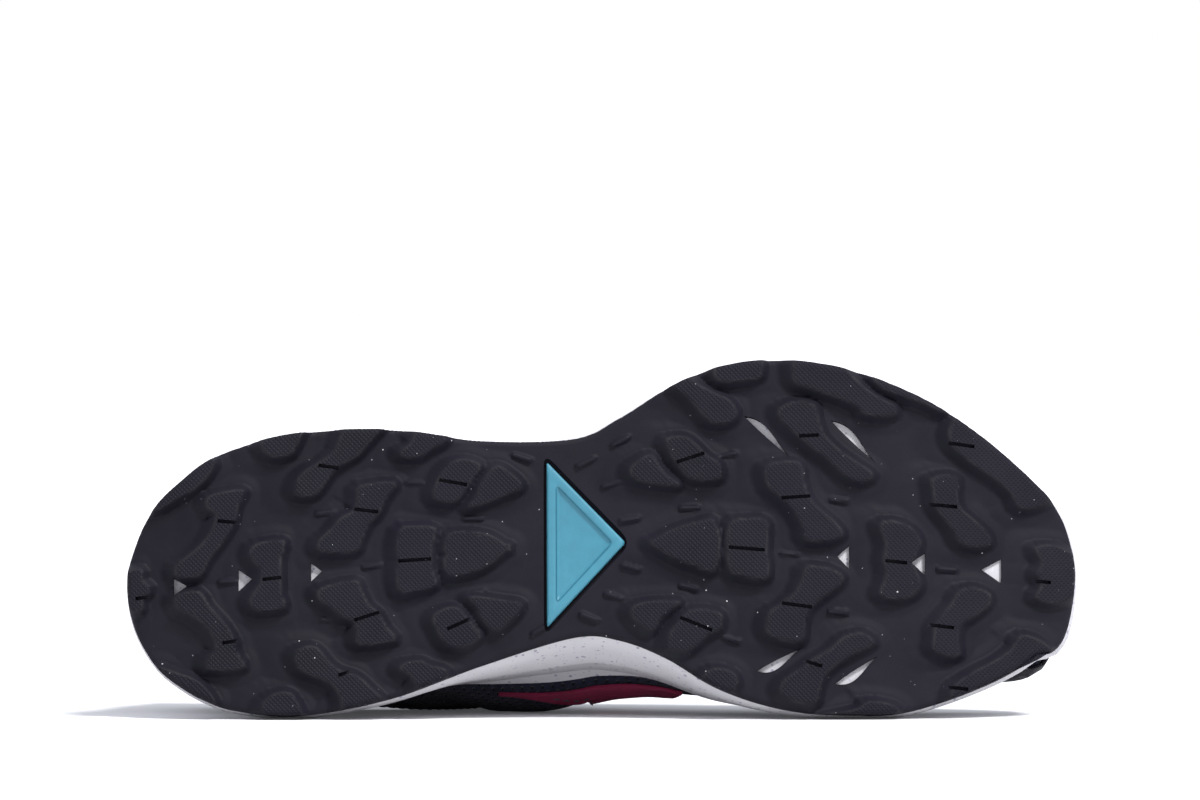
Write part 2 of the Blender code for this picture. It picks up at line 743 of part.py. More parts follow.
def insole(parts):
    """Loose footbed, cupped at its edge."""
    rings = []
    for inset, lift in ((0.0, GAP), (0.0, INSOLE * 1.35), (0.006, INSOLE), (0.014, INSOLE * 0.95)):
        ring = []
        for j in range(COLUMNS):
            turn = 2 * j / COLUMNS
            flat = wall(turn, 3.0, GAP * 2)
            out = edge_out(turn).to_3d()
            flat -= out * inset
            ring.append(Vector((flat.x, flat.y, footbed(flat.x) + lift)))
        rings.append(ring)
    points = [p for ring in rings for p in ring]
    faces = grid_faces(len(rings), COLUMNS, True)
    faces += ladder(0, COLUMNS)
    faces += ladder((len(rings) - 1) * COLUMNS, COLUMNS)
    return add_object("insole", mesh_from("insole", points, faces), "lining", parts)


def eyelet_cutter(cutters):
    """Pins through the eyestay and the wall at every eyelet."""
    work = bmesh.new()
    for share in EYELETS:
        for turn in (share, 2 - share):
            out = skin_frame(turn, EYELET_ROW)[0]
            spot = wall(turn, EYELET_ROW, (OVERLAY - UPPER_WALL) / 2)
            turned = out.to_track_quat("Z", "Y").to_matrix().to_4x4()
            bmesh.ops.create_cone(work, cap_ends=True, segments=10, radius1=EYELET_RADIUS,
                                  radius2=EYELET_RADIUS, depth=(UPPER_WALL + OVERLAY) * 2.6,
                                  matrix=Matrix.Translation(spot) @ turned)
    return hidden("eyelet_pins", mesh_of(work, "eyelet_pins"), cutters)


def upper(parts, pins):
    """One hollow wall, open at the collar and throat and underneath."""
    outside = list(UPPER_ROWS)
    inside = [3 - row for row in reversed(UPPER_ROWS)]
    levels = outside + [1.25, 1.5, 1.75] + inside
    points = [wall(2 * j / COLUMNS, q) for q in levels for j in range(COLUMNS)]
    faces = grid_faces(len(levels), COLUMNS, True)
    last = (len(levels) - 1) * COLUMNS
    for j in range(COLUMNS):
        k = (j + 1) % COLUMNS
        faces.append((j, k, last + k, last + j))
    thing = add_object("upper", mesh_from("upper", points, faces), "mesh", parts)
    boolean(thing, pins, "DIFFERENCE")
    return thing


def patch(name, turns, low_row, high_row, rows, material_name, parts, lift=GAP * 1.8, thick=OVERLAY):
    """Overlay on the skin between two rows that may change round the shoe."""
    grids = []
    for height in (lift + thick, lift):
        grid = []
        for i in range(rows + 1):
            line = []
            for turn in turns:
                low, high = low_row(turn), high_row(turn)
                line.append(wall(turn, low + (high - low) * i / rows, height))
            grid.append(line)
        grids.append(grid)
    return add_object(name, sheet(name, grids[0], grids[1]), material_name, parts)


def above_rim(turn, clear=0.0008):
    return row_at_height(turn, rim_height(turn) + clear)


def overlays(parts, pins):
    """Toe cap, heel counter, side panels and eyestay, all on the upper's own skin."""
    def toe_top(turn):
        return above_rim(turn) + 0.05 + 0.30 * (1 - ease(abs(turn - 1), 0.04, 0.36))

    def heel_top(turn):
        off = abs((turn + 1) % 2 - 1)
        return above_rim(turn) + 0.06 + 0.34 * (1 - ease(off, 0.05, 0.30))

    def panel_low(turn):
        return above_rim(turn, clear=0.0022)

    def panel_top(turn):
        share = place(turn)[1]
        return 0.76 - 0.30 * ease(abs(share - 0.50), 0.02, 0.13)

    patch("toe_cap", columns_between(0.66, 1.34), above_rim, toe_top, 4, "film", parts)
    patch("heel_counter", columns_between(-0.26, 0.26), above_rim, heel_top, 4, "film", parts)
    patch("saddle_outer", columns_between(0.39, 0.63), panel_low, panel_top, 6, "crimson", parts,
          lift=GAP * 2.5)
    patch("saddle_inner", columns_between(1.37, 1.59), panel_low, panel_top, 6, "crimson", parts,
          lift=GAP * 2.5)
    eyestay = patch("eyestay", columns_between(0.445, 1.555), lambda t: 0.84, lambda t: 0.985, 3,
                    "film", parts)
    boolean(eyestay, pins, "DIFFERENCE")


# Tongue and laces

TONGUE_ROWS = (0.83, 0.89, 1.0)
TONGUE_COLUMNS = (30, 28, 27, 26, 25, 24, 23, 22, 21, 20, 19, 18, 17, 16, 15, 14)
TONGUE_GAP = GAP * 2.5


def bridge(share, b, lift):
    """Point of the arch from the outer throat edge (b 0) to the inner one (b 1)."""
    ends = []
    for turn in (share, 2 - share):
        up = skin_frame(turn, 1.0)[1]
        ends.append((wall(turn, 2.0, lift), up))
    (a, up_a), (d, up_d) = ends
    reach = (d - a).length * 0.36
    p, q = a + up_a * reach, d + up_d * reach
    t = 1 - b
    return a * t ** 3 + p * (3 * t * t * b) + q * (3 * t * b * b) + d * b ** 3


def tongue_section(share, lift):
    """Line across the tongue: under the outer edge, over the arch, under the inner edge."""
    line = [wall(share, 3 - row, lift) for row in TONGUE_ROWS]
    line += [bridge(share, b, lift) for b in (0.25, 0.50, 0.75)]
    line += [wall(2 - share, 3 - row, lift) for row in reversed(TONGUE_ROWS)]
    return line


def tongue(parts):
    """Padded tongue under the throat's edges, with its free end over the collar."""
    grids = []
    for lift in (TONGUE_GAP, TONGUE_GAP + TONGUE_THICKNESS):
        grid = [tongue_section(2 * column / COLUMNS, lift) for column in TONGUE_COLUMNS]
        root = grid[-1]
        middle = sum(root, Vector()) / len(root)
        for flap in TONGUE_END:
            move = Vector((-flap.back * HEEL_HEIGHT, 0, flap.up * HEEL_HEIGHT))
            line = [Vector((p.x, middle.y + (p.y - middle.y) * flap.width, p.z)) + move for p in root]
            grid.append(line)
        grids.append(grid)
    return add_object("tongue", sheet("tongue", grids[0], grids[1]), "mesh", parts)


def lace_arm(name, start, end, parts_in, raised=0.0, steps=6):
    """Flat lace on the tongue between two places given as (throat share, bridge share)."""
    front, back = [], []
    low = TONGUE_GAP - GAP * 2
    for i in range(steps + 1):
        t = i / steps
        share = start[0] + (end[0] - start[0]) * t
        b = start[1] + (end[1] - start[1]) * t
        here = bridge(share, b, low)
        ahead = bridge(share + (end[0] - start[0]) * 0.02, b + (end[1] - start[1]) * 0.02, low)
        over = (bridge(share, b, low - 0.001) - bridge(share, b, low)).normalized()
        way = (ahead - here).normalized()
        side = over.cross(way).normalized() * LACE_WIDTH / 2
        base = here + over * (GAP + raised)
        front.append([base - side + over * LACE_THICKNESS, base + side + over * LACE_THICKNESS])
        back.append([base - side, base + side])
    mesh = sheet(name, front, back)
    return hidden(name, mesh, parts_in)


def laces(parts, cutters):
    """A bar at the toe end and a crossing between each two pairs of eyelets."""
    inside = 0.16
    bar_share = EYELETS[0] + 0.040
    bar = lace_arm("lace_bar_arm", (bar_share, inside), (bar_share, 1 - inside), cutters)
    add_object("lace_bar", evaluated_mesh(bar), "cord", parts)
    for k, (low, high) in enumerate(zip(EYELETS, EYELETS[1:]), 1):
        margin = (low - high) * 0.24
        first = lace_arm(f"lace_arm_{k}a", (low - margin, inside), (high + margin, 1 - inside), cutters)
        second = lace_arm(f"lace_arm_{k}b", (low - margin, 1 - inside), (high + margin, inside), cutters,
                          raised=LACE_THICKNESS / 4)
        boolean(first, second, "UNION")
        add_object(f"lace_cross_{k}", evaluated_mesh(first), "cord", parts)


def heel_loop(parts):
    """Pull strap folded over the collar at the back of the heel."""
    reach = LOOP_WIDTH / 2 / EDGE_REACH[OUTER][-1]
    turns = turns_between(-reach, reach, 4)
    levels = (0.78, 0.89, 1.0, 1.25, 1.5, 1.75, 2.0, 2.12, 2.22)
    outside = [[wall(turn, q, GAP * 2 + LOOP_THICKNESS) for turn in turns] for q in levels]
    inside = [[wall(turn, q, GAP * 2) for turn in turns] for q in levels]
    return add_object("heel_loop", sheet("heel_loop", outside, inside), "crimson", parts)


# Resting on its side

def resting_turn(parts):
    """Rotation that lays the shoe on the face of its hull nearest its middle, inner side down."""
    work = bmesh.new()
    middle, total = Vector(), 0.0
    for thing in parts.objects:
        mesh = evaluated_mesh(thing)
        for vertex in mesh.vertices:
            work.verts.new(vertex.co)
        size = bmesh.new()
        size.from_mesh(mesh)
        bmesh.ops.triangulate(size, faces=size.faces)
        for face in size.faces:
            a, b, c = (v.co for v in face.verts)
            part = a.dot(b.cross(c)) / 6
            middle += (a + b + c) / 4 * part
            total += part
        size.free()
        bpy.data.meshes.remove(mesh)
    middle /= total
    hull = bmesh.ops.convex_hull(work, input=work.verts)["geom"]
    faces = [f for f in hull if isinstance(f, bmesh.types.BMFace)]
    best, down = None, None
    for face in faces:
        face.normal_update()
        normal = face.normal
        away = normal.dot(face.verts[0].co - middle)
        if away < 0:
            normal, away = -normal, -away
        if normal.y > 0.85 and (best is None or away < best):
            best, down = away, normal.copy()
    work.free()
    z_axis = -down
    x_axis = (Vector((1, 0, 0)) - z_axis * z_axis.x).normalized()
    y_axis = z_axis.cross(x_axis)
    return Matrix((x_axis, y_axis, z_axis)).to_4x4()


def lay_down(parts):
    """Parents every piece to one empty that lays the shoe down over the origin."""
    turn = resting_turn(parts)
    corners = [turn @ v.co for thing in parts.objects for v in evaluated_mesh(thing).vertices]
    low = Vector([min(p[i] for p in corners) for i in range(3)])
    high = Vector([max(p[i] for p in corners) for i in range(3)])
    carrier = bpy.data.objects.new("shoe", None)
    parts.objects.link(carrier)
    centre = Vector(((low.x + high.x) / 2, (low.y + high.y) / 2, low.z))
    carrier.matrix_world = Matrix.Translation(-centre) @ turn
    for thing in list(parts.objects):
        if thing is not carrier:
            thing.parent = carrier


def build():
    for thing in list(bpy.data.objects):
        bpy.data.objects.remove(thing)
    parts = bpy.data.collections.new("trail_shoe")
    cutters = bpy.data.collections.new("cutters")
    for collection in (parts, cutters):
        bpy.context.scene.collection.children.link(collection)
    pins = eyelet_cutter(cutters)
    outsole(parts, cutters)
    arch_insert(parts)
    midsole(parts)
    insole(parts)
    upper(parts, pins)
    tongue(parts)
    overlays(parts, pins)
    laces(parts, cutters)
    heel_loop(parts)
    lay_down(parts)


build()
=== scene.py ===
"""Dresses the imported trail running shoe: moulded tread, speckled foam, woven upper, laces.

Every piece is made in the shoe's own coordinates (X heel to toe, +Y inner side, Z up from
the ground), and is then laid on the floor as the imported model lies.
"""
import math
from bisect import bisect_left
from collections import namedtuple
from functools import lru_cache

import bpy
import numpy as np
from bpy.props import FloatProperty, FloatVectorProperty, PointerProperty
from mathutils import Matrix, Vector
from mathutils.kdtree import KDTree


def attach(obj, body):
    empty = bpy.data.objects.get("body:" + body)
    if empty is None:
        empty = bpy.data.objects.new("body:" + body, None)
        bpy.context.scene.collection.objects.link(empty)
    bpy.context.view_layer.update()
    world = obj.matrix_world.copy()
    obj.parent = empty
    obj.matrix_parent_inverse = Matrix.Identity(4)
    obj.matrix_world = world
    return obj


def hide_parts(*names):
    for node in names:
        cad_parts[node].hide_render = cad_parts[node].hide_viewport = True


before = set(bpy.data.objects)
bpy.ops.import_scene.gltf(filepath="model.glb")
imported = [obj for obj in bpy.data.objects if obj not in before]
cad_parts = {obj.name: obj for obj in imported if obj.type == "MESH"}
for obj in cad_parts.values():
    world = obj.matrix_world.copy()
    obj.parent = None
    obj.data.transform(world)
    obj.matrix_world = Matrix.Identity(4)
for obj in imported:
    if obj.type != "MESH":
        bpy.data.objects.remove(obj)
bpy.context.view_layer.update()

bl_info = {
    "name": "Trail shoe looks",
    "version": (1, 0, 0),
    "blender": (4, 5, 0),
    "location": "View3D > Sidebar > Shoe",
    "description": "Dresses a lugged trail running shoe lying on its side",
    "category": "Object",
}

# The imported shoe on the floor: where its heel's ground point lies and how it leans
SHOE_PLACE = Vector((-0.14504, -0.07186, 0.04654))
SHOE_ROLL = math.radians(-96.883)
SHOE_YAW = math.radians(-0.1725)
LAID = (Matrix.Translation(SHOE_PLACE) @ Matrix.Rotation(SHOE_YAW, 4, "Y")
        @ Matrix.Rotation(SHOE_ROLL, 4, "X"))

OUTER = -1
INNER = 1

# Photograph: its size, pixels to a metre at the tread, the pixel of the frame's origin, and
# how much the lean of the tread shortens heights in it
PHOTO_WIDTH = 1200
PHOTO_HEIGHT = 800
PHOTO_SCALE = 3260.0
PHOTO_X = 602.5
PHOTO_FLOOR = 720.0
PHOTO_LEAN = 0.9928


def table(name, columns, *rows):
    """A short table: one named tuple for each row."""
    kind = namedtuple(name, columns)
    return tuple(kind(*row) for row in rows)


# Outline of the rubber: shares of the length, and of the ball width on each side
SOLE_SECTIONS = table(
    "Sole", "along outer inner",
    (-0.004, -0.004, 0.080), (0.002, 0.057, 0.155), (0.013, 0.129, 0.220), (0.030, 0.194, 0.284),
    (0.053, 0.250, 0.333), (0.078, 0.301, 0.371), (0.112, 0.342, 0.401), (0.178, 0.383, 0.416),
    (0.275, 0.392, 0.369), (0.372, 0.361, 0.276), (0.470, 0.366, 0.197), (0.519, 0.425, 0.206),
    (0.567, 0.504, 0.256), (0.616, 0.561, 0.335), (0.665, 0.585, 0.385), (0.713, 0.583, 0.411),
    (0.762, 0.561, 0.417), (0.811, 0.517, 0.413), (0.859, 0.457, 0.379), (0.908, 0.370, 0.327),
    (0.942, 0.296, 0.279), (0.962, 0.248, 0.240), (0.979, 0.202, 0.228), (0.992, 0.146, 0.188),
    (1.000, 0.080, 0.118), (1.004, 0.015, 0.035),
)

# The line about which the tread is mirrored
TREAD_MIDDLE = table(
    "Middle", "along across",
    (0.00, 0.060), (0.12, 0.031), (0.30, -0.023), (0.48, -0.071), (0.60, -0.062), (0.70, -0.042),
    (0.80, -0.021), (0.91, 0.000), (1.00, 0.012),
)

# Ground faces of the lugs on the outer side, in pixels of the photograph; the inner side
# mirrors them
FACES = table(
    "Face", "name outline",
    ("heel tip", ((120, 574), (139, 568), (141, 579), (148, 588), (120, 592))),
    ("heel corner", ((154, 508), (178, 497), (194, 488), (208, 474), (213, 460), (190, 462),
        (166, 484))),
    ("heel hook", ((208, 497), (228, 492), (243, 492), (236, 508), (233, 522), (222, 541), (208, 559),
        (198, 575), (178, 576), (176, 565), (192, 553), (205, 541), (214, 526), (216, 514),
        (208, 507))),
    ("heel side", ((262, 447), (270, 430), (302, 426), (294, 449), (287, 456), (273, 457))),
    ("heel arm", ((295, 492), (300, 478), (310, 469), (322, 462), (335, 451), (342, 436), (346, 424),
        (382, 424), (371, 440), (357, 456), (341, 465), (330, 475), (316, 494), (303, 497))),
    ("heel middle", ((251, 557), (257, 545), (283, 542), (280, 560), (279, 584), (264, 584),
        (261, 570))),
    ("heel front", ((361, 487), (394, 484), (386, 498), (378, 514), (368, 525), (361, 540), (354, 552),
        (322, 552), (320, 542), (332, 530), (342, 519), (354, 512), (358, 500))),
    ("waist side", ((401, 453), (411, 445), (421, 428), (442, 428), (446, 441), (430, 450), (420, 457),
        (406, 458))),
    ("waist middle", ((400, 532), (416, 528), (435, 530), (432, 545), (429, 566), (400, 566))),
    ("waist arm", ((434, 495), (438, 484), (444, 472), (452, 464), (465, 461), (480, 467), (474, 477),
        (467, 488), (460, 498), (451, 503), (438, 501))),
    ("waist leaf", ((498, 468), (509, 474), (520, 484), (519, 491), (503, 497), (488, 503), (471, 508),
        (478, 495), (482, 484), (490, 474))),
    ("waist tip", ((449, 536), (470, 533), (490, 537), (503, 545), (509, 551), (490, 554), (449, 558))),
    ("ball corner", ((684, 376), (698, 386), (714, 395), (729, 402), (737, 413), (732, 423), (713, 424),
        (700, 411), (688, 399), (674, 386))),
    ("ball side", ((716, 372), (719, 354), (758, 352), (763, 373), (757, 380), (735, 383), (720, 382))),
    ("ball arm", ((669, 441), (686, 439), (698, 448), (708, 458), (720, 466), (721, 479), (706, 482),
        (690, 479), (679, 466), (671, 454))),
    ("ball leaf", ((632, 472), (638, 464), (652, 457), (659, 468), (668, 478), (679, 487), (652, 485),
        (636, 480))),
    ("ball tip", ((654, 545), (661, 538), (680, 529), (700, 524), (714, 523), (719, 550), (690, 549))),
    ("ball middle", ((731, 526), (746, 521), (766, 523), (768, 538), (763, 555), (731, 555))),
    ("fore arm", ((768, 469), (785, 464), (801, 466), (804, 482), (809, 498), (820, 511), (835, 524),
        (843, 536), (830, 542), (808, 541), (804, 528), (795, 512), (783, 500), (770, 488))),
    ("fore hook", ((782, 411), (796, 404), (815, 407), (819, 420), (825, 436), (838, 450), (856, 463),
        (874, 476), (862, 483), (846, 477), (832, 463), (815, 450), (803, 440), (791, 430),
        (783, 421))),
    ("fore side", ((795, 377), (799, 356), (832, 352), (850, 374), (868, 391), (884, 401), (897, 408),
        (894, 416), (869, 416), (858, 407), (838, 399), (815, 391), (800, 386))),
    ("toe side", ((876, 374), (883, 388), (905, 397), (928, 404), (948, 412), (956, 400), (920, 380),
        (895, 368))),
    ("fore middle", ((882, 526), (896, 523), (912, 529), (921, 541), (918, 552), (908, 568), (887, 568),
        (888, 546))),
    ("toe arm", ((935, 480), (948, 475), (960, 479), (959, 495), (963, 509), (975, 519), (990, 533),
        (991, 543), (976, 547), (962, 542), (954, 528), (943, 514), (937, 503), (936, 491))),
    ("toe corner", ((953, 430), (964, 414), (992, 430), (1012, 450), (1034, 470), (1054, 492),
        (1042, 503), (1024, 506), (1015, 492), (1000, 479), (980, 466), (964, 454), (955, 444))),
    ("toe tip", ((1040, 546), (1056, 543), (1073, 549), (1088, 562), (1088, 573), (1044, 573),
        (1046, 560))),
)

# Slits across the lugs in the photograph, both ends
SLITS = table(
    "Slit", "x0 y0 x1 y1",
    (217, 521, 237, 523), (318, 466, 338, 469), (262, 580, 281, 578), (354, 510, 378, 513),
    (398, 562, 431, 560), (439, 481, 467, 486), (134, 597, 151, 595), (677, 464, 705, 455),
    (729, 549, 765, 552), (782, 500, 811, 498), (800, 438, 820, 437), (886, 562, 908, 564),
    (931, 505, 959, 507), (951, 443, 977, 446), (1038, 579, 1054, 580), (222, 643, 243, 640),
    (354, 621, 379, 613), (447, 630, 472, 619), (338, 676, 358, 669), (680, 619, 712, 632),
    (782, 605, 812, 609), (803, 662, 822, 668), (926, 625, 955, 628), (943, 687, 969, 689),
)

# Slots through the rubber in the photograph, both ends and swell; small triangles
SLOTS = table(
    "Slot", "x0 y0 x1 y1 swell",
    (745, 417, 792, 459, -0.0022), (832, 421, 878, 464, -0.0022), (756, 672, 802, 649, 0.0024),
    (834, 685, 879, 656, 0.0024),
)
ARROWS = table(
    "Arrow", "base apex half",
    (0.045, 0.060, 0.026), (0.114, 0.129, 0.032), (0.191, 0.203, 0.027), (0.762, 0.749, 0.034),
    (0.843, 0.827, 0.033), (0.925, 0.903, 0.036),
)

# Triangular plate at the waist
INSERT_BASE = (0.441, 0.236)
INSERT_APEX = 0.525
INSERT_CORNER = 0.0035

# Small raised bars between the lugs: their middles in the photograph and their tilt
BARS = table(
    "Bar", "px py tilt",
    (325, 513, -6), (415, 483, 4), (473, 519, 0), (522, 458, 18), (372, 566, -8), (621, 442, -28),
    (586, 463, -26), (612, 485, -16), (690, 509, -2), (630, 520, -8), (728, 456, -10), (840, 501, 4),
    (949, 569, 3), (791, 555, 3), (228, 581, 0), (330, 620, 3), (476, 592, -8), (540, 630, -30),
    (631, 568, 16), (614, 597, 18), (589, 618, 22), (689, 588, 12), (731, 640, 16), (838, 613, 4),
)

# Foam under the foot as a share of its greatest thickness
FOOTBED = table(
    "Bed", "along foam",
    (0.00, 0.82), (0.15, 1.00), (0.35, 1.00), (0.50, 0.88), (0.70, 0.68), (0.85, 0.58), (1.00, 0.46),
)

# Upper edge of the midsole: height over the footbed and how far it stands in on each side
RIM = table(
    "Rim", "round height outer inner",
    (0.00, 1.50, 0.060, 0.060), (0.10, 1.33, 0.066, 0.066), (0.20, 1.10, 0.072, 0.066),
    (0.32, 0.95, 0.072, 0.034), (0.40, 0.90, 0.045, -0.024), (0.48, 0.90, 0.027, -0.064),
    (0.55, 0.80, 0.045, -0.044), (0.64, 0.72, 0.060, 0.006), (0.73, 0.70, 0.055, 0.036),
    (0.82, 0.68, 0.046, 0.041), (0.89, 0.67, 0.042, 0.030), (0.93, 0.66, 0.041, 0.016),
    (0.96, 0.65, 0.039, 0.024), (1.00, 0.64, 0.037, 0.037),
)

# Edge of the opening, collar and throat, by the place of the sole's edge below it
OPENING = table(
    "Brim", "round along outer inner height",
    (0.00, 0.054, 0.041, 0.041, 0.985), (0.06, 0.063, -0.062, 0.140, 0.960),
    (0.12, 0.088, -0.155, 0.220, 0.895), (0.20, 0.145, -0.238, 0.288, 0.775),
    (0.28, 0.225, -0.284, 0.322, 0.655), (0.36, 0.310, -0.289, 0.336, 0.725),
    (0.43, 0.375, -0.255, 0.298, 0.985), (0.50, 0.445, -0.204, 0.170, 0.965),
    (0.58, 0.515, -0.178, 0.100, 0.850), (0.67, 0.575, -0.174, 0.062, 0.750),
    (0.78, 0.624, -0.168, 0.040, 0.670), (0.90, 0.655, -0.132, 0.000, 0.620),
    (1.00, 0.664, -0.066, -0.066, 0.605),
)

# How each column of the upper leaves the sole and meets the opening
SWELLS = table(
    "Swell", "round foot_out foot_up top_out top_down",
    (0.00, 0.055, 0.32, 0.06, 0.40), (0.12, 0.055, 0.30, 0.06, 0.32), (0.28, 0.055, 0.22, 0.04, 0.19),
    (0.43, 0.080, 0.32, 0.09, 0.30), (0.58, 0.090, 0.32, 0.19, 0.19), (0.72, 0.065, 0.24, 0.32, 0.10),
    (0.86, 0.040, 0.24, 0.48, 0.08), (1.00, 0.040, 0.30, 0.62, 0.06),
)

# Side of the midsole from the tread up: share of the way in, how far it stands proud, height
MIDSOLE_SIDE = table(
    "Side", "inward proud high",
    (0.00, -0.0004, 0.00), (0.04, 0.0006, 0.05), (0.14, 0.0014, 0.14), (0.33, 0.0016, 0.27),
    (0.55, 0.0016, 0.40), (0.72, 0.0015, 0.48), (0.80, 0.0012, 0.515), (0.84, 0.0003, 0.54),
    (0.86, 0.0001, 0.57), (0.93, 0.0006, 0.71), (0.99, 0.0007, 0.86), (1.04, 0.0005, 0.95),
    (1.12, 0.0000, 1.00),
)

# Soft troughs of the forefoot's bend: places round the shoe and up it, breadth and depth
CREASES = table(
    "Crease", "start end low high breadth depth",
    (0.735, 0.775, 0.25, 0.98, 0.012, 0.0009), (0.775, 0.825, 0.30, 0.98, 0.011, 0.0011),
    (0.820, 0.880, 0.35, 0.98, 0.012, 0.0009), (0.690, 0.720, 0.20, 0.70, 0.012, 0.0006),
    (1.265, 1.225, 0.25, 0.98, 0.012, 0.0009), (1.225, 1.175, 0.30, 0.98, 0.011, 0.0011),
    (1.180, 1.120, 0.35, 0.98, 0.012, 0.0009), (1.310, 1.280, 0.20, 0.70, 0.012, 0.0006),
    (0.345, 0.420, 0.30, 0.72, 0.013, 0.0007), (1.655, 1.580, 0.30, 0.72, 0.013, 0.0007),
    (0.230, 0.290, 0.35, 0.70, 0.012, 0.0006), (1.770, 1.710, 0.35, 0.70, 0.012, 0.0006),
)

# Free end of the tongue over the throat
TONGUE_END = table(
    "Flap", "back up width",
    (0.110, 0.140, 0.86), (0.180, 0.280, 0.84), (0.215, 0.400, 0.78), (0.225, 0.450, 0.60),
)

# Places round the shoe where the tongue starts and where its free end begins
TONGUE_START = 30 / 32
TONGUE_STOP = 14 / 32

# Eyelets: places round the shoe from the toe end up, row on the skin, radius and pin length
EYELETS = (0.82, 0.71, 0.635, 0.58, 0.533, 0.487)
EYELET_ROW = 0.925
EYELET_RADIUS = 0.0019
EYELET_PIN = 0.0088

# Laces: how far in from the tongue's edges a lace lies free, as a share of the way across, the
# part of the way to the next eyelet kept at each end, and the rise where one crosses another
LACE_EDGE = 0.16
LACE_MARGIN = 0.24
LACE_RISE = 0.00155

# Clearances between pieces and over the floor, in metres
CLEAR = 0.0003
TONGUE_CLEAR = CLEAR * 2.5
SEAT = 0.0004
FLOOR_GAP = 0.0001

# Thicknesses, widths and depths, in metres, with the lift of the overlays off the skin
UPPER_WALL = 0.0022
OVERLAY = 0.0012
OVERLAY_LIFT = CLEAR * 1.8
OVERLAY_TOP = OVERLAY + OVERLAY_LIFT
STRAP = 0.0014
CUP_DEPTH = 0.012
CUP_WALL = 0.0045
INSERT_RIM = 0.0030
INSERT_STEP = 0.0009

# Rise of the tread off the ground, and the shares of the length where it ends and starts
HEEL_BEVEL = 0.007
HEEL_BEVEL_END = 0.16
TOE_SPRING = 0.021
TOE_SPRING_START = 0.66

# Relief of the tread, in metres: run of a lug's wall and what it gains towards the heel, the
# distance in from the edge of its face that counts as 1, the soft foot round lugs, the small
# bars, and the round at the rubber's edge
LUG_WALL = 0.0026
LUG_WALL_HEELWARD = 0.0030
LUG_FACE = 0.003
LUG_SKIRT = 0.0006
BAR_HEIGHT = 0.0013
BAR_HALF = 0.0008
EDGE_ROUND = 0.0016

# Points round the midsole and the upper
RING = 224

# Fuller places of the upper's inner side: share from heel to toe, breadth, how far out, and
# the rows where each rises and falls
BULGES = table(
    "Bulge", "share breadth out rise full fall end",
    (0.505, 0.085, 0.0085, 0.0, 0.28, 0.34, 0.8), (0.43, 0.06, 0.0045, 0.0, 0.28, 0.34, 0.8),
    (0.928, 0.034, 0.0085, 0.08, 0.20, 0.25, 0.60),
)


def length(name, description, default):
    return FloatProperty(name=name, description=description, default=default, unit="LENGTH")


def tint(name, description, default):
    return FloatVectorProperty(name=name, description=description, default=default, subtype="COLOR")


class ShoeSizes(bpy.types.PropertyGroup):
    """Sizes of the shoe's dressed pieces."""

    sole_length: length("Sole length", "Length of the rubber", 0.290)
    ball_width: length("Ball width", "Width of the forefoot", 0.109)
    heel_height: length("Heel height", "Upper over the foam at the heel", 0.074)
    lug_depth: length("Lug depth", "Height of the lugs", 0.0038)
    rubber: length("Rubber", "Thickness of the rubber sheet", 0.0025)
    foam: length("Foam", "Foam under the heel", 0.024)
    slit: length("Slit", "Width of the slits in the lugs", 0.0011)
    bar: length("Bar", "Length of the small bars", 0.0050)
    collar_pad: length("Collar", "Thickness of the padded collar", 0.0065)
    tongue: length("Tongue", "Thickness of the tongue", 0.0045)
    lace_width: length("Lace width", "Width of the flat lace", 0.0055)
    lace_thickness: length("Lace", "Thickness of the lace", 0.0013)
    loop_width: length("Loop width", "Width of the heel loop", 0.012)


class ShoeColours(bpy.types.PropertyGroup):
    """Main colours, linear."""

    rubber: tint("Rubber", "Tread", (0.0092, 0.0084, 0.0150))
    rubbed: tint("Rubbed", "Worn edges", (0.040, 0.038, 0.040))
    fleck: tint("Fleck", "Specks in the rubber", (0.60, 0.60, 0.62))
    insert: tint("Insert", "Plate", (0.055, 0.240, 0.330))
    foam: tint("Foam", "Midsole", (0.640, 0.630, 0.660))
    speckle: tint("Speckle", "Specks in the foam", (0.28, 0.27, 0.36))
    mesh: tint("Mesh", "Upper", (0.0105, 0.0125, 0.0300))
    lining: tint("Lining", "Lining", (0.020, 0.022, 0.034))
    film: tint("Film", "Overlays", (0.011, 0.011, 0.015))
    crimson: tint("Crimson", "Side panels", (0.210, 0.018, 0.055))
    cord: tint("Lace", "Lace", (0.150, 0.160, 0.200))
    thread: tint("Thread", "Stitches", (0.045, 0.048, 0.065))


def sizes():
    return bpy.context.scene.shoe_sizes


def colours():
    return bpy.context.scene.shoe_colours


# Tables and outlines

@lru_cache(maxsize=None)
def curve_of(rows, column):
    """Places, values and slopes of one column of a table."""
    keys = [row[0] for row in rows]
    values = [getattr(row, column) for row in rows]
    return keys, values, np.gradient(values, keys).tolist()


def through(rows, at, column):
    """Smooth value of one column of a table at a place given in its first column."""
    keys, values, slopes = curve_of(rows, column)
    index = min(max(bisect_left(keys, at) - 1, 0), len(keys) - 2)
    step = keys[index + 1] - keys[index]
    t = (min(max(at, keys[0]), keys[-1]) - keys[index]) / step
    start = (1 + 2 * t) * (1 - t) ** 2 * values[index] + t * (1 - t) ** 2 * step * slopes[index]
    return start + t * t * (3 - 2 * t) * values[index + 1] - t * t * (1 - t) * step * slopes[index + 1]


def ease(value, low, high):
    """0 up to low, 1 from high on, and an even S between them."""
    t = min(max((value - low) / (high - low), 0.0), 1.0)
    return t * t * (3 - 2 * t)


def spline(a, b, c, d, t):
    """Catmull-Rom curve from b to c, with a before them and d after."""
    return 0.5 * (2 * b + (c - a) * t + (2 * a - 5 * b + 4 * c - d) * t * t
                  + (3 * b - a - 3 * c + d) * t ** 3)


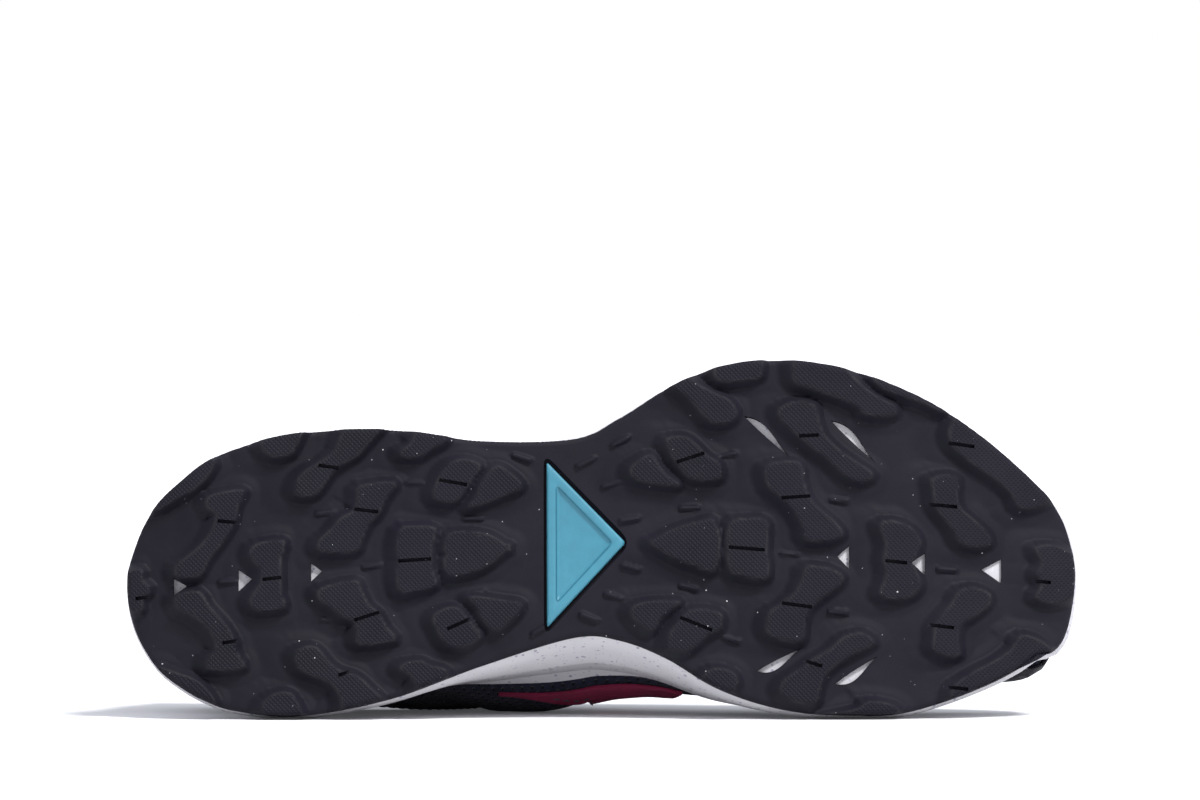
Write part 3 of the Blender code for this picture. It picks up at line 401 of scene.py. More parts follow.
def bezier(a, b, c, d, t):
    """Cubic Bezier curve at t."""
    rest = 1 - t
    return a * rest ** 3 + b * (3 * rest * rest * t) + c * (3 * rest * t * t) + d * t ** 3


def catmull(points, steps):
    """Closed smooth line through points."""
    count = len(points)
    ends = [[points[(i + k) % count] for k in (-1, 0, 1, 2)] for i in range(count)]
    return [spline(*four, j / steps) for four in ends for j in range(steps)]


def lengths_along(line):
    """Distance from the start of a line to each of its points."""
    return np.concatenate(([0.0], np.cumsum(np.linalg.norm(np.diff(line, axis=0), axis=1))))


def edge_line():
    """The rubber's outline as one closed line of points from the heel's middle, outer side first."""
    length, width = sizes().sole_length, sizes().ball_width
    outer = [Vector((s.along * length, -s.outer * width)) for s in SOLE_SECTIONS]
    inner = [Vector((s.along * length, s.inner * width)) for s in SOLE_SECTIONS]
    steps = 20
    loop = catmull(outer + inner[::-1], steps)
    toe = (len(outer) - 1) * steps + steps // 2
    heel = len(loop) - steps // 2
    return {OUTER: loop[heel:] + loop[:toe + 1], INNER: (loop[toe:heel + 1])[::-1]}


def along_line(points, shares):
    """Places on a line of points at shares of its length."""
    line = np.array([tuple(p) for p in points])
    reach = lengths_along(line)
    at = np.asarray(shares) * reach[-1]
    return np.stack([np.interp(at, reach, line[:, k]) for k in range(line.shape[1])], axis=-1)


def rocker(x):
    """Height of the tread over the ground at distances from the heel."""
    along = np.asarray(x) / sizes().sole_length
    spring = (along - TOE_SPRING_START) / (1 - TOE_SPRING_START)
    bevel = 1 - along / HEEL_BEVEL_END
    return HEEL_BEVEL * np.maximum(0.0, bevel) ** 2 + TOE_SPRING * np.maximum(0.0, spring) ** 2


def tread_point(along, out, side):
    """Level place on the tread from its shares along and out of the middle line."""
    across = through(TREAD_MIDDLE, along, "across") + side * out
    return Vector((along * sizes().sole_length, across * sizes().ball_width))


def from_photo(px, py):
    """Level place on the tread that shows at a pixel of the photograph."""
    x = (px - PHOTO_X) / PHOTO_SCALE - SHOE_PLACE.x
    high = (PHOTO_FLOOR - py) / PHOTO_SCALE
    return Vector((x, (SHOE_PLACE.z - high) / PHOTO_LEAN))


# The sole's edge and the upper's own skin

@lru_cache(maxsize=None)
def edge_table():
    """The rubber's outline with the distance along it, for each side from heel to toe."""
    table = {}
    for side, line in edge_line().items():
        reach = [0.0]
        for a, b in zip(line, line[1:]):
            reach.append(reach[-1] + (b - a).length)
        table[side] = (line, reach)
    return table


def place(turn):
    """Side and share from heel to toe of a place round the shoe, counted 0 to 2."""
    turn %= 2.0
    return (OUTER, turn) if turn <= 1.0 else (INNER, 2.0 - turn)


@lru_cache(maxsize=None)
def edge(turn):
    side, share = place(turn)
    line, reach = edge_table()[side]
    at = share * reach[-1]
    index = min(max(bisect_left(reach, at) - 1, 0), len(line) - 2)
    return line[index].lerp(line[index + 1], (at - reach[index]) / (reach[index + 1] - reach[index]))


@lru_cache(maxsize=None)
def edge_out(turn):
    """Unit direction out of the outline, level."""
    way = edge(turn + 0.012) - edge(turn - 0.012)
    return Vector((way.y, -way.x)).normalized()


def foam_bottom(x):
    return float(rocker(x)) + sizes().lug_depth + sizes().rubber + CLEAR


def footbed(x):
    return foam_bottom(x) + sizes().foam * through(FOOTBED, x / sizes().sole_length, "foam")


def rim_inset(turn):
    side, share = place(turn)
    return sizes().ball_width * through(RIM, share, "outer" if side == OUTER else "inner")


def rim_height(turn):
    return footbed(edge(turn).x) + CUP_DEPTH * through(RIM, place(turn)[1], "height")


@lru_cache(maxsize=None)
def column_ends(turn):
    """Control points of the upper's column at a place round the shoe."""
    side, share = place(turn)
    out = edge_out(turn).to_3d()
    flat = edge(turn) - edge_out(turn) * (rim_inset(turn) + CUP_WALL)
    foot = Vector((flat.x, flat.y, footbed(flat.x) + CLEAR))
    tall = sizes().heel_height
    deck = sizes().lug_depth + sizes().rubber + CLEAR + sizes().foam
    across = through(OPENING, share, "outer" if side == OUTER else "inner") * sizes().ball_width
    top = Vector((through(OPENING, share, "along") * sizes().sole_length, across,
                  deck + tall * through(OPENING, share, "height")))
    swell = {name: tall * through(SWELLS, share, name) for name in SWELLS[0]._fields[1:]}
    above = foot + out * swell["foot_out"] + Vector((0, 0, swell["foot_up"]))
    below = top + out * swell["top_out"] - Vector((0, 0, swell["top_down"]))
    return foot, above, below, top


def skin(turn, row):
    """Point of the upper's outside: row 0 at the sole, row 1 at the opening."""
    a, b, c, d = column_ends(turn)
    side, share = place(turn)
    point = bezier(a, b, c, d, row)
    if side == OUTER:
        return point
    full = 0.0
    for bulge in BULGES:
        rise = ease(row, bulge.rise, bulge.full) * (1 - ease(row, bulge.fall, bulge.end))
        full += bulge.out * math.exp(-((share - bulge.share) / bulge.breadth) ** 2) * rise
    return point + edge_out(turn).to_3d() * full


@lru_cache(maxsize=None)
def skin_frame(turn, row):
    """Directions out of the skin and up along its column."""
    low, high = max(row - 0.03, 0.0), min(row + 0.03, 1.0)
    up = (skin(turn, high) - skin(turn, low)).normalized()
    round_way = skin(turn + 0.01, row) - skin(turn - 0.01, row)
    return round_way.cross(up).normalized(), up


def wall_thickness(turn, row):
    pad = (1 - ease(place(turn)[1], 0.34, 0.44)) * ease(row, 0.35, 0.80)
    return UPPER_WALL + (sizes().collar_pad - UPPER_WALL) * pad


def crease_depth(turn, row):
    """How deep the worn troughs are at a place of the skin."""
    depth = 0.0
    turn %= 2.0
    for crease in CREASES:
        if not crease.low - 0.15 < row < crease.high + 0.15:
            continue
        t = (row - crease.low) / (crease.high - crease.low)
        off = (turn - (crease.start + (crease.end - crease.start) * t)) / crease.breadth
        ends = ease(row, crease.low - 0.1, crease.low + 0.15)
        ends *= 1 - ease(row, crease.high - 0.15, crease.high + 0.1)
        depth += crease.depth * ends * (math.exp(-off * off) - 0.45 * math.exp(-(abs(off) - 1.9) ** 2))
    return depth


def skin_row(q):
    """Row of the skin beside a place of the wall, which is counted 0 to 3."""
    return q if q <= 1 else 1.0 if q <= 2 else 3 - q


def wall(turn, q, lift=0.0):
    """Point of the upper's wall: 0 to 1 up its outside, to 2 over the edge, to 3 down inside."""
    row = skin_row(q)
    out, up = skin_frame(turn, row)
    thick = wall_thickness(turn, row)
    point = skin(turn, row)
    if q <= 1:
        return point + out * lift
    if q >= 2:
        return point - out * (thick + lift)
    angle = (q - 1) * math.pi
    return point - out * thick / 2 + (out * math.cos(angle) + up * math.sin(angle)) * (thick / 2 + lift)


@lru_cache(maxsize=None)
def row_at_height(turn, height):
    """Row where the skin reaches a height over the ground."""
    low, high = 0.0, 1.0
    for _ in range(20):
        middle = (low + high) / 2
        if skin(turn, middle).z < height:
            low = middle
        else:
            high = middle
    return low


def above_rim(turn, clear=0.0008):
    return row_at_height(turn, rim_height(turn) + clear)


def bridge(share, b, lift):
    """Point of the arch from the outer throat edge (b 0) to the inner one (b 1)."""
    ends = []
    for turn in (share, 2 - share):
        ends.append((wall(turn, 2.0, lift), skin_frame(turn, 1.0)[1]))
    (a, up_a), (d, up_d) = ends
    reach = (d - a).length * 0.36
    p, q = a + up_a * reach, d + up_d * reach
    return bezier(a, p, q, d, b)


def turns_between(start, end, count):
    return [start + (end - start) * i / count for i in range(count + 1)]


# Tread relief

def mirrored(point):
    """The same place on the other side of the tread's middle line."""
    middle = through(TREAD_MIDDLE, point.x / sizes().sole_length, "across") * sizes().ball_width
    return Vector((point.x, 2 * middle - point.y))


def lug_outlines():
    """Rounded outline of every lug's ground face, on both sides."""
    outlines = []
    for face in FACES:
        outer = [from_photo(px, py) for px, py in face.outline]
        outlines += [catmull(outer, 3), catmull([mirrored(point) for point in outer], 3)]
    return outlines


def soft_step(value, foot, crest):
    """0 below 0 and 1 above 1, a straight rise between them, rounded at both ends."""
    def bent(x, k):
        return np.where(x < -k, 0.0, np.where(x > k, x, (x + k) ** 2 / (4 * k)))
    return bent(value, foot) - bent(value - 1, crest)


def lug_rise(x, y, outline):
    """How high each place is on a lug: 1 at the edge of its ground face, 0 clear of its walls."""
    best = np.full_like(x, 1e9)
    away = np.zeros((len(x), 2))
    inside = np.zeros(len(x), bool)
    for a, b in zip(outline, outline[1:] + outline[:1]):
        way = b - a
        t = np.clip(((x - a.x) * way.x + (y - a.y) * way.y) / max(way.length_squared, 1e-12), 0, 1)
        dx, dy = x - (a.x + way.x * t), y - (a.y + way.y * t)
        off = dx * dx + dy * dy
        nearer = off < best
        best = np.where(nearer, off, best)
        away[nearer] = np.stack([dx, dy], axis=1)[nearer]
        if abs(way.y) > 1e-12:
            inside ^= ((a.y > y) != (b.y > y)) & (x < a.x + way.x * (y - a.y) / way.y)
    best = np.sqrt(best)
    heelward = np.maximum(0.0, -away[:, 0] / np.maximum(best, 1e-9))
    slope = LUG_WALL + LUG_WALL_HEELWARD * heelward * heelward
    return np.where(inside, 1 + best / LUG_FACE, 1 - best / slope)


def tread_relief(x, y):
    """Rise over the rubber's base in metres, and how near each place is to a lug's ground face."""
    depth = sizes().lug_depth
    rise = np.full_like(x, -3.0)
    reach = 0.012
    for outline in lug_outlines():
        low = [min(p[k] for p in outline) - reach for k in (0, 1)]
        high = [max(p[k] for p in outline) + reach for k in (0, 1)]
        near = np.nonzero((x > low[0]) & (x < high[0]) & (y > low[1]) & (y < high[1]))[0]
        if len(near):
            rise[near] = np.maximum(rise[near], lug_rise(x[near], y[near], outline))
    height = depth * soft_step(rise, 0.26, 0.07)
    skirt = np.clip((rise + 1.3) / 1.3, 0, 1)
    height = np.maximum(height, LUG_SKIRT * skirt * skirt * (3 - 2 * skirt))
    for bar in BARS:
        middle = from_photo(bar.px, bar.py)
        angle = math.radians(bar.tilt)
        way = Vector((math.cos(angle), math.sin(angle)))
        along = (x - middle.x) * way.x + (y - middle.y) * way.y
        across = (x - middle.x) * way.y - (y - middle.y) * way.x
        out = np.hypot(np.maximum(np.abs(along) - sizes().bar / 2, 0), across)
        height = np.maximum(height, BAR_HEIGHT * soft_step(1.55 - out / BAR_HALF, 0.25, 0.25))
    return height, rise


def border_fall(x, y):
    """How far the rubber's face falls back towards its outline, as a moulded round."""
    lines = edge_line()
    outline = lines[OUTER] + lines[INNER][::-1]
    tree = KDTree(len(outline))
    for i, point in enumerate(outline):
        tree.insert(point.to_3d(), i)
    tree.balance()
    off = np.array([tree.find((a, b, 0))[2] for a, b in zip(x, y)])
    share = np.clip(1 - off / EDGE_ROUND, 0, 1)
    return EDGE_ROUND * (1 - np.sqrt(1 - share * share))


# Mesh helpers

def clear_selection():
    if bpy.context.object and bpy.context.object.mode != "OBJECT":
        bpy.ops.object.mode_set(mode="OBJECT")
    bpy.ops.object.select_all(action="DESELECT")


def pick(thing):
    clear_selection()
    thing.select_set(True)
    bpy.context.view_layer.objects.active = thing


def object_from(name, points, faces):
    mesh = bpy.data.meshes.new(name)
    mesh.from_pydata([tuple(p) for p in points], [], [tuple(f) for f in faces])
    mesh.validate()
    thing = bpy.data.objects.new(name, mesh)
    bpy.context.scene.collection.objects.link(thing)
    return thing


def apply(thing, kind, **settings):
    """Adds a modifier with its settings and applies it."""
    pick(thing)
    modifier = thing.modifiers.new(kind.lower(), kind)
    for name, value in settings.items():
        setattr(modifier, name, value)
    bpy.ops.object.modifier_apply(modifier=modifier.name)


def soften(thing, width, segments, degrees):
    """Rounds the edges of a piece that turn by more than an angle."""
    apply(thing, "BEVEL", width=width, segments=segments, limit_method="ANGLE",
          angle_limit=math.radians(degrees))


def cut(thing, cutter):
    """Takes the cutter's shape out of a piece, and removes the cutter."""
    apply(thing, "BOOLEAN", operation="DIFFERENCE", solver="EXACT", object=cutter)
    bpy.data.objects.remove(cutter)


def outwards(thing):
    """Turns all faces of a closed piece outwards."""
    pick(thing)
    bpy.ops.object.mode_set(mode="EDIT")
    bpy.ops.mesh.select_all(action="SELECT")
    bpy.ops.mesh.normals_make_consistent(inside=False)
    bpy.ops.object.mode_set(mode="OBJECT")


def prisms(name, outlines, bottom, top):
    """One straight block for each outline."""
    points, faces = [], []
    for outline in outlines:
        area = sum(p.x * q.y - q.x * p.y for p, q in zip(outline, outline[1:] + outline[:1]))
        outline = outline if area > 0 else outline[::-1]
        start, count = len(points), len(outline)
        points += [(p.x, p.y, bottom) for p in outline] + [(p.x, p.y, top) for p in outline]
        faces.append(tuple(range(start, start + count))[::-1])
        faces.append(tuple(range(start + count, start + 2 * count)))
        for i in range(count):
            j = (i + 1) % count
            faces.append((start + i, start + j, start + count + j, start + count + i))
    return object_from(name, points, faces)


def grid_faces(rows, columns, closed, start=0):
    """Quads between rows of points."""
    faces = []
    for i in range(rows - 1):
        for j in range(columns if closed else columns - 1):
            k = (j + 1) % columns
            a = start + i * columns
            faces.append((a + j, a + k, a + columns + k, a + columns + j))
    return faces


def ladder(start, count):
    """Quads that fill a ring of points, each between two facing sides."""
    faces = []
    for j in range(count // 2):
        ids = [j, j + 1, count - 1 - j, (count - j) % count]
        faces.append(tuple(start + k for k in dict.fromkeys(ids)))
    return faces


def spread(grid, closed, level):
    """Distances along one level row and up the columns of a grid, for its cloth pattern."""
    p = np.array([[tuple(q) for q in line] for line in grid])
    across = lengths_along(p[level])
    if closed:
        across = np.append(across, across[-1] + np.linalg.norm(p[level][0] - p[level][-1]))
    steps = np.linalg.norm(np.diff(p, axis=0), axis=2)
    up = np.concatenate((np.zeros((1, p.shape[1])), np.cumsum(steps, axis=0)))
    return across, up


def lay_pattern(thing, values):
    """Writes a UV map in metres: values hold (u, v) for each face corner in turn."""
    layer = thing.data.uv_layers.new(name="cloth")
    layer.data.foreach_set("uv", np.asarray(values, np.float32).ravel())


def slab(name, front, back):
    """Closed piece between two grids of points of the same size, with a cloth pattern on both."""
    rows, columns = len(front), len(front[0])
    count = rows * columns
    points = [p for line in front for p in line] + [p for line in back for p in line]
    faces = grid_faces(rows, columns, False)
    faces += [f[::-1] for f in grid_faces(rows, columns, False, count)]
    rim = list(range(columns)) + [i * columns + columns - 1 for i in range(1, rows)]
    rim += [(rows - 1) * columns + j for j in range(columns - 2, -1, -1)]
    rim += [i * columns for i in range(rows - 2, 0, -1)]
    for a, b in zip(rim, rim[1:] + rim[:1]):
        faces.append((b, a, a + count, b + count))
    thing = object_from(name, points, faces)
    across, up = spread(front, False, rows // 2)
    uv = []
    for polygon in thing.data.polygons:
        for index in polygon.vertices:
            i, j = divmod(index % count, columns)
            uv.append((across[j], up[i, j]))
    lay_pattern(thing, uv)
    outwards(thing)
    return thing


def finish_piece(thing, material_made, slot, degrees, *nodes):
    """Smooths, colours and lays a piece in place of CAD nodes."""
    pick(thing)
    bpy.ops.object.shade_smooth_by_angle(angle=math.radians(degrees))
    if not thing.data.materials:
        thing.data.materials.append(material_made)
    thing.data.transform(LAID)
    co = places(thing)
    co[:, 2] = np.maximum(co[:, 2], FLOOR_GAP)
    put(thing, co)
    thing.data.update()
    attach(thing, "root")
    if nodes:
        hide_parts(*nodes)


def store(thing, name, values):
    """Keeps one number for each vertex under a name that materials read."""
    attribute = thing.data.attributes.new(name, "FLOAT", "POINT")
    attribute.data.foreach_set("value", np.asarray(values, np.float32))


def places(thing):
    co = np.empty(len(thing.data.vertices) * 3)
    thing.data.vertices.foreach_get("co", co)
    return co.reshape(-1, 3)


def put(thing, co):
    thing.data.vertices.foreach_set("co", co.ravel())


def rock(thing):
    """Lifts a piece modelled on level ground by the rise of the tread."""
    co = places(thing)
    co[:, 2] += rocker(co[:, 0])
    put(thing, co)


# Node helpers

def add(tree, kind, inputs=None, **settings):
    """Adds a node with settings, values and links to its inputs."""
    made = tree.nodes.new(kind)
    for name, value in settings.items():
        setattr(made, name, value)
    for key, value in (inputs or {}).items():
        if isinstance(value, bpy.types.NodeSocket):
            tree.links.new(value, made.inputs[key])
        else:
            made.inputs[key].default_value = value
    return made


def calc(tree, operation, *values):
    return add(tree, "ShaderNodeMath", dict(enumerate(values)), operation=operation).outputs[0]


def times(tree, first, second):
    return calc(tree, "MULTIPLY", first, second)


def blend_colour(tree, factor, first, second):
    return add(tree, "ShaderNodeMix", {0: factor, 6: first, 7: second}, data_type="RGBA").outputs[2]


def spread_range(tree, value, low, high, new_low=0.0, new_high=1.0):
    return add(tree, "ShaderNodeMapRange", {0: value, 1: low, 2: high, 3: new_low, 4: new_high}).outputs[0]


def named_group(name, inputs, outputs):
    """A node group, with its input and output nodes."""
    tree = bpy.data.node_groups.new(name, "ShaderNodeTree")
    for label, kind, value in inputs:
        socket = tree.interface.new_socket(name=label, in_out="INPUT", socket_type=kind)
        if value is not None:
            socket.default_value = value
    for label in outputs:
        tree.interface.new_socket(name=label, in_out="OUTPUT", socket_type="NodeSocketFloat")
    return tree, tree.nodes.new("NodeGroupInput"), tree.nodes.new("NodeGroupOutput")


VECTOR = "NodeSocketVector"
NUMBER = "NodeSocketFloat"


@lru_cache(maxsize=None)
def flecks_group():
    """Scattered specks: cells a metre, share of cells with a speck, and its size in a cell."""
    tree, enter, leave = named_group("flecks", (
        ("Vector", VECTOR, None), ("Cells", NUMBER, 200.0), ("Share", NUMBER, 0.3),
        ("Size", NUMBER, 0.1)), ("Mask",))
    cells = add(tree, "ShaderNodeTexVoronoi", {
        "Vector": enter.outputs["Vector"], "Scale": enter.outputs["Cells"]})
    chance = add(tree, "ShaderNodeSeparateColor", {0: cells.outputs["Color"]})
    grows = times(tree, enter.outputs["Size"], calc(tree, "ADD", 0.5, chance.outputs[1]))
    near = calc(tree, "LESS_THAN", cells.outputs["Distance"], grows)
    taken = calc(tree, "LESS_THAN", chance.outputs[0], enter.outputs["Share"])
    tree.links.new(times(tree, near, taken), leave.inputs["Mask"])
    return tree


@lru_cache(maxsize=None)
def ribs_group():
    """Two sets of fine ribs crossing on the diagonal of a plane."""
    tree, enter, leave = named_group("crossed ribs", (
        ("Along", NUMBER, 0.0), ("Across", NUMBER, 0.0), ("Pitch", NUMBER, 0.0011)), ("Height",))
    turn = calc(tree, "DIVIDE", math.tau / math.sqrt(2), enter.outputs["Pitch"])
    waves = []
    for operation in ("ADD", "SUBTRACT"):
        line = calc(tree, operation, enter.outputs["Along"], enter.outputs["Across"])
        waves.append(calc(tree, "SINE", times(tree, line, turn)))
    tree.links.new(calc(tree, "MAXIMUM", *waves), leave.inputs["Height"])
    return tree


@lru_cache(maxsize=None)
def cloth_group():
    """Woven threads on a UV map in metres: threads' height, and staggered open holes."""
    tree, enter, leave = named_group("cloth", (
        ("UV", VECTOR, None), ("Thread", NUMBER, 0.0006), ("Hole", NUMBER, 0.0024)), ("Height", "Open"))
    apart = add(tree, "ShaderNodeSeparateXYZ", {0: enter.outputs["UV"]})
    turns = {}
    for name in ("Thread", "Hole"):
        scale = calc(tree, "DIVIDE", math.tau, enter.outputs[name])
        turns[name] = [times(tree, apart.outputs[k], scale) for k in (0, 1)]
    u, v = turns["Thread"]
    tree.links.new(times(tree, calc(tree, "SINE", u), calc(tree, "SINE", v)), leave.inputs["Height"])
    u, v = turns["Hole"]
    holes = times(tree, calc(tree, "COSINE", u), calc(tree, "COSINE", times(tree, v, 0.6)))
    tree.links.new(spread_range(tree, holes, 0.45, 0.85), leave.inputs["Open"])
    return tree


@lru_cache(maxsize=None)
def wear_group():
    """Uneven rubbing and dust: a base mask broken up by cloudy noise."""
    tree, enter, leave = named_group("wear", (
        ("Vector", VECTOR, None), ("Mask", NUMBER, 1.0), ("Scale", NUMBER, 120.0),
        ("Amount", NUMBER, 0.5)), ("Mask",))
    cloud = add(tree, "ShaderNodeTexNoise", {
        "Vector": enter.outputs["Vector"], "Scale": enter.outputs["Scale"], "Detail": 4.0,
        "Roughness": 0.6})
    broken = spread_range(tree, cloud.outputs[0], 0.36, 0.66)
    masked = times(tree, broken, enter.outputs["Mask"])
    tree.links.new(times(tree, masked, enter.outputs["Amount"]), leave.inputs["Mask"])
    return tree


@lru_cache(maxsize=None)
def grain_group():
    """Fine moulded or fibrous grain in metres of height."""
    tree, enter, leave = named_group("grain", (
        ("Vector", VECTOR, None), ("Scale", NUMBER, 2500.0), ("Depth", NUMBER, 0.00003)), ("Height",))
    noise = add(tree, "ShaderNodeTexNoise", {
        "Vector": enter.outputs["Vector"], "Scale": enter.outputs["Scale"], "Detail": 3.0,
        "Roughness": 0.55})
    tree.links.new(times(tree, noise.outputs[0], enter.outputs["Depth"]), leave.inputs["Height"])
    return tree


def use(tree, group, **inputs):
    """Adds a node group with values and links to its inputs, and gives its first output."""
    return add(tree, "ShaderNodeGroup", inputs, node_tree=group).outputs[0]


def object_places(tree):
    return tree.nodes.new("ShaderNodeTexCoord").outputs["Object"]


def stored(tree, name):
    return add(tree, "ShaderNodeAttribute", attribute_name=name).outputs["Fac"]


def clouds(tree, where, scale, detail=2.0):
    return add(tree, "ShaderNodeTexNoise", {"Vector": where, "Scale": scale, "Detail": detail}).outputs[0]


# Materials

def new_material(name, roughness, specular=0.5):
    made = bpy.data.materials.new(name)
    made.use_nodes = True
    shader = made.node_tree.nodes["Principled BSDF"]
    shader.inputs["Roughness"].default_value = roughness
    shader.inputs["Specular IOR Level"].default_value = specular
    return made, made.node_tree, shader


def join_bump(tree, shader, heights):
    """Adds up heights in metres and bumps the surface by them."""
    total = heights[0]
    for height in heights[1:]:
        total = calc(tree, "ADD", total, height)
    bump = add(tree, "ShaderNodeBump", {"Height": total, "Strength": 1.0, "Distance": 1.0})
    tree.links.new(bump.outputs[0], shader.inputs["Normal"])


def rgba(colour, by=1.0):
    return (colour[0] * by, colour[1] * by, colour[2] * by, 1.0)


def mottled(tree, cloud, colour, dark, light, low=0.3, high=0.7):
    """A colour that drifts with a cloudy noise between a darker and a lighter tone."""
    share = spread_range(tree, cloud, low, high)
    return blend_colour(tree, share, rgba(colour, dark), rgba(colour, light))


@lru_cache(maxsize=None)
def rubber_material():
    """Charcoal rubber with white specks, ribbed ground faces and paler rubbed edges."""
    made, tree, shader = new_material("tread rubber", 0.62, specular=0.17)
    where = object_places(tree)
    cloud = clouds(tree, where, 28.0, 3.0)
    base = mottled(tree, cloud, colours().rubber, 0.88, 1.18, 0.35, 0.65)
    rubbed = use(tree, wear_group(), Vector=where, Mask=stored(tree, "border"), Scale=160.0, Amount=0.75)
    base = blend_colour(tree, rubbed, base, rgba(colours().rubbed))
    dust = use(tree, wear_group(), Vector=where, Mask=1.0, Scale=55.0, Amount=0.10)
    base = blend_colour(tree, dust, base, rgba(colours().rubbed, 0.9))
    small = use(tree, flecks_group(), Vector=where, Cells=420.0, Share=0.20, Size=0.060)
    base = blend_colour(tree, times(tree, small, 0.45), base, rgba(colours().fleck))
    big = use(tree, flecks_group(), Vector=where, Cells=190.0, Share=0.30, Size=0.034)
    base = blend_colour(tree, big, base, rgba(colours().fleck))
    tree.links.new(base, shader.inputs["Base Color"])
    apart = add(tree, "ShaderNodeSeparateXYZ", {0: where})
    ribs = use(tree, ribs_group(), Along=apart.outputs[0], Across=apart.outputs[2], Pitch=0.0010)
    rise = times(tree, times(tree, ribs, stored(tree, "crest")), 0.00011)
    grain = use(tree, grain_group(), Vector=where, Scale=1800.0, Depth=0.00006)
    brink = times(tree, spread_range(tree, stored(tree, "near"), 0.0, 1.0), 0.0004)
    join_bump(tree, shader, (rise, grain, brink))
    rough = spread_range(tree, cloud, 0.3, 0.7, 0.58, 0.72)
    tree.links.new(calc(tree, "ADD", rough, times(tree, rubbed, 0.2)), shader.inputs["Roughness"])
    return made


@lru_cache(maxsize=None)
def insert_material():
    made, tree, shader = new_material("teal plate", 0.42)
    where = object_places(tree)
    base = mottled(tree, clouds(tree, where, 45.0, 3.0), colours().insert, 0.92, 1.06)
    dust = use(tree, wear_group(), Vector=where, Mask=1.0, Scale=260.0, Amount=0.14)
    base = blend_colour(tree, dust, base, rgba(colours().insert, 1.6))
    tree.links.new(base, shader.inputs["Base Color"])
    join_bump(tree, shader, (use(tree, grain_group(), Vector=where, Scale=2200.0, Depth=0.00004),))
    return made


@lru_cache(maxsize=None)
def foam_material():
    made, tree, shader = new_material("speckled foam", 0.66)
    where = object_places(tree)
    base = mottled(tree, clouds(tree, where, 35.0, 4.0), colours().foam, 0.93, 1.04)
    mauve = use(tree, flecks_group(), Vector=where, Cells=900.0, Share=0.40, Size=0.24)
    base = blend_colour(tree, times(tree, mauve, 0.55), base, rgba(colours().speckle, 1.4))
    grey = use(tree, flecks_group(), Vector=where, Cells=480.0, Share=0.42, Size=0.20)
    base = blend_colour(tree, times(tree, grey, 0.8), base, rgba(colours().speckle))
    tree.links.new(base, shader.inputs["Base Color"])
    join_bump(tree, shader, (use(tree, grain_group(), Vector=where, Scale=1400.0, Depth=0.00009),))
    shader.inputs["Subsurface Weight"].default_value = 0.05
    shader.inputs["Subsurface Radius"].default_value = (0.002, 0.002, 0.002)
    return made


@lru_cache(maxsize=None)
def cloth_material(name, kind, thread=0.0006, hole=0.0, roughness=0.85, sheen=0.10, thread_depth=0.00012):
    """Woven cloth on its UV map, with or without open holes, with painted highlight on the raised threads
    and painted shade in the holes.
    """
    made, tree, shader = new_material(name, roughness, specular=0.25)
    colour = tuple(getattr(colours(), kind))
    pattern = tree.nodes.new("ShaderNodeTexCoord")
    where = pattern.outputs["Object"]
    sizes_in = {"UV": pattern.outputs["UV"], "Thread": thread, "Hole": hole or 1.0}
    woven = add(tree, "ShaderNodeGroup", sizes_in, node_tree=cloth_group())
    base = mottled(tree, clouds(tree, where, 60.0, 4.0), colour, 0.82, 1.2)
    lift = spread_range(tree, woven.outputs["Height"], -1.0, 1.0)
    # Painted highlight: the raised threads are coloured lighter the higher they stand.
    base = blend_colour(tree, times(tree, lift, 0.55), base, rgba([c * 1.5 + 0.004 for c in colour]))
    heights = [times(tree, lift, thread_depth)]
    if hole:
        # Painted shade: the open holes are coloured near black in place of the shade inside them.
        base = blend_colour(tree, woven.outputs["Open"], base, rgba(colour, 0.18))
        heights.append(times(tree, woven.outputs["Open"], -0.00045))
    heights.append(use(tree, grain_group(), Vector=where, Scale=3200.0, Depth=0.00007))
    tree.links.new(base, shader.inputs["Base Color"])
    join_bump(tree, shader, heights)
    shader.inputs["Sheen Weight"].default_value = sheen
    shader.inputs["Sheen Roughness"].default_value = 0.4
    return made


@lru_cache(maxsize=None)
def film_material():
    """Thin black moulded overlay with a fine pebbled face and rubbed spots."""
    made, tree, shader = new_material("moulded film", 0.5, specular=0.20)
    where = object_places(tree)
    cloud = clouds(tree, where, 40.0, 4.0)
    base = blend_colour(tree, cloud, rgba(colours().film, 0.7), rgba(colours().film, 1.4))
    rubbed = use(tree, wear_group(), Vector=where, Mask=1.0, Scale=90.0, Amount=0.10)
    tree.links.new(blend_colour(tree, rubbed, base, rgba(colours().rubbed)), shader.inputs["Base Color"])
    pebbles = add(tree, "ShaderNodeTexVoronoi", {"Vector": where, "Scale": 1100.0}, feature="SMOOTH_F1")
    join_bump(tree, shader, (times(tree, pebbles.outputs["Distance"], -0.00010),))
    tree.links.new(spread_range(tree, cloud, 0.3, 0.7, 0.46, 0.62), shader.inputs["Roughness"])
    return made


@lru_cache(maxsize=None)
def thread_material():
    made, tree, shader = new_material("thread", 0.7)
    cloud = clouds(tree, object_places(tree), 300.0)
    base = blend_colour(tree, cloud, rgba(colours().thread, 0.7), rgba(colours().thread, 1.3))
    tree.links.new(base, shader.inputs["Base Color"])
    return made


# Pieces

def rounded(corners, radius, steps=4):
    line = []
    for i, corner in enumerate(corners):
        before = (corners[i - 1] - corner).normalized() * radius
        after = (corners[(i + 1) % len(corners)] - corner).normalized() * radius
        for j in range(steps + 1):
            t = j / steps
            line.append(corner + before * (1 - t) ** 2 + after * t * t)
    return line


def triangle(along, half, apex):
    """Corners of a triangle on the tread's middle: both ends of its base, and its apex between."""
    return [tread_point(along, half, OUTER), tread_point(apex, 0, OUTER), tread_point(along, half, INNER)]


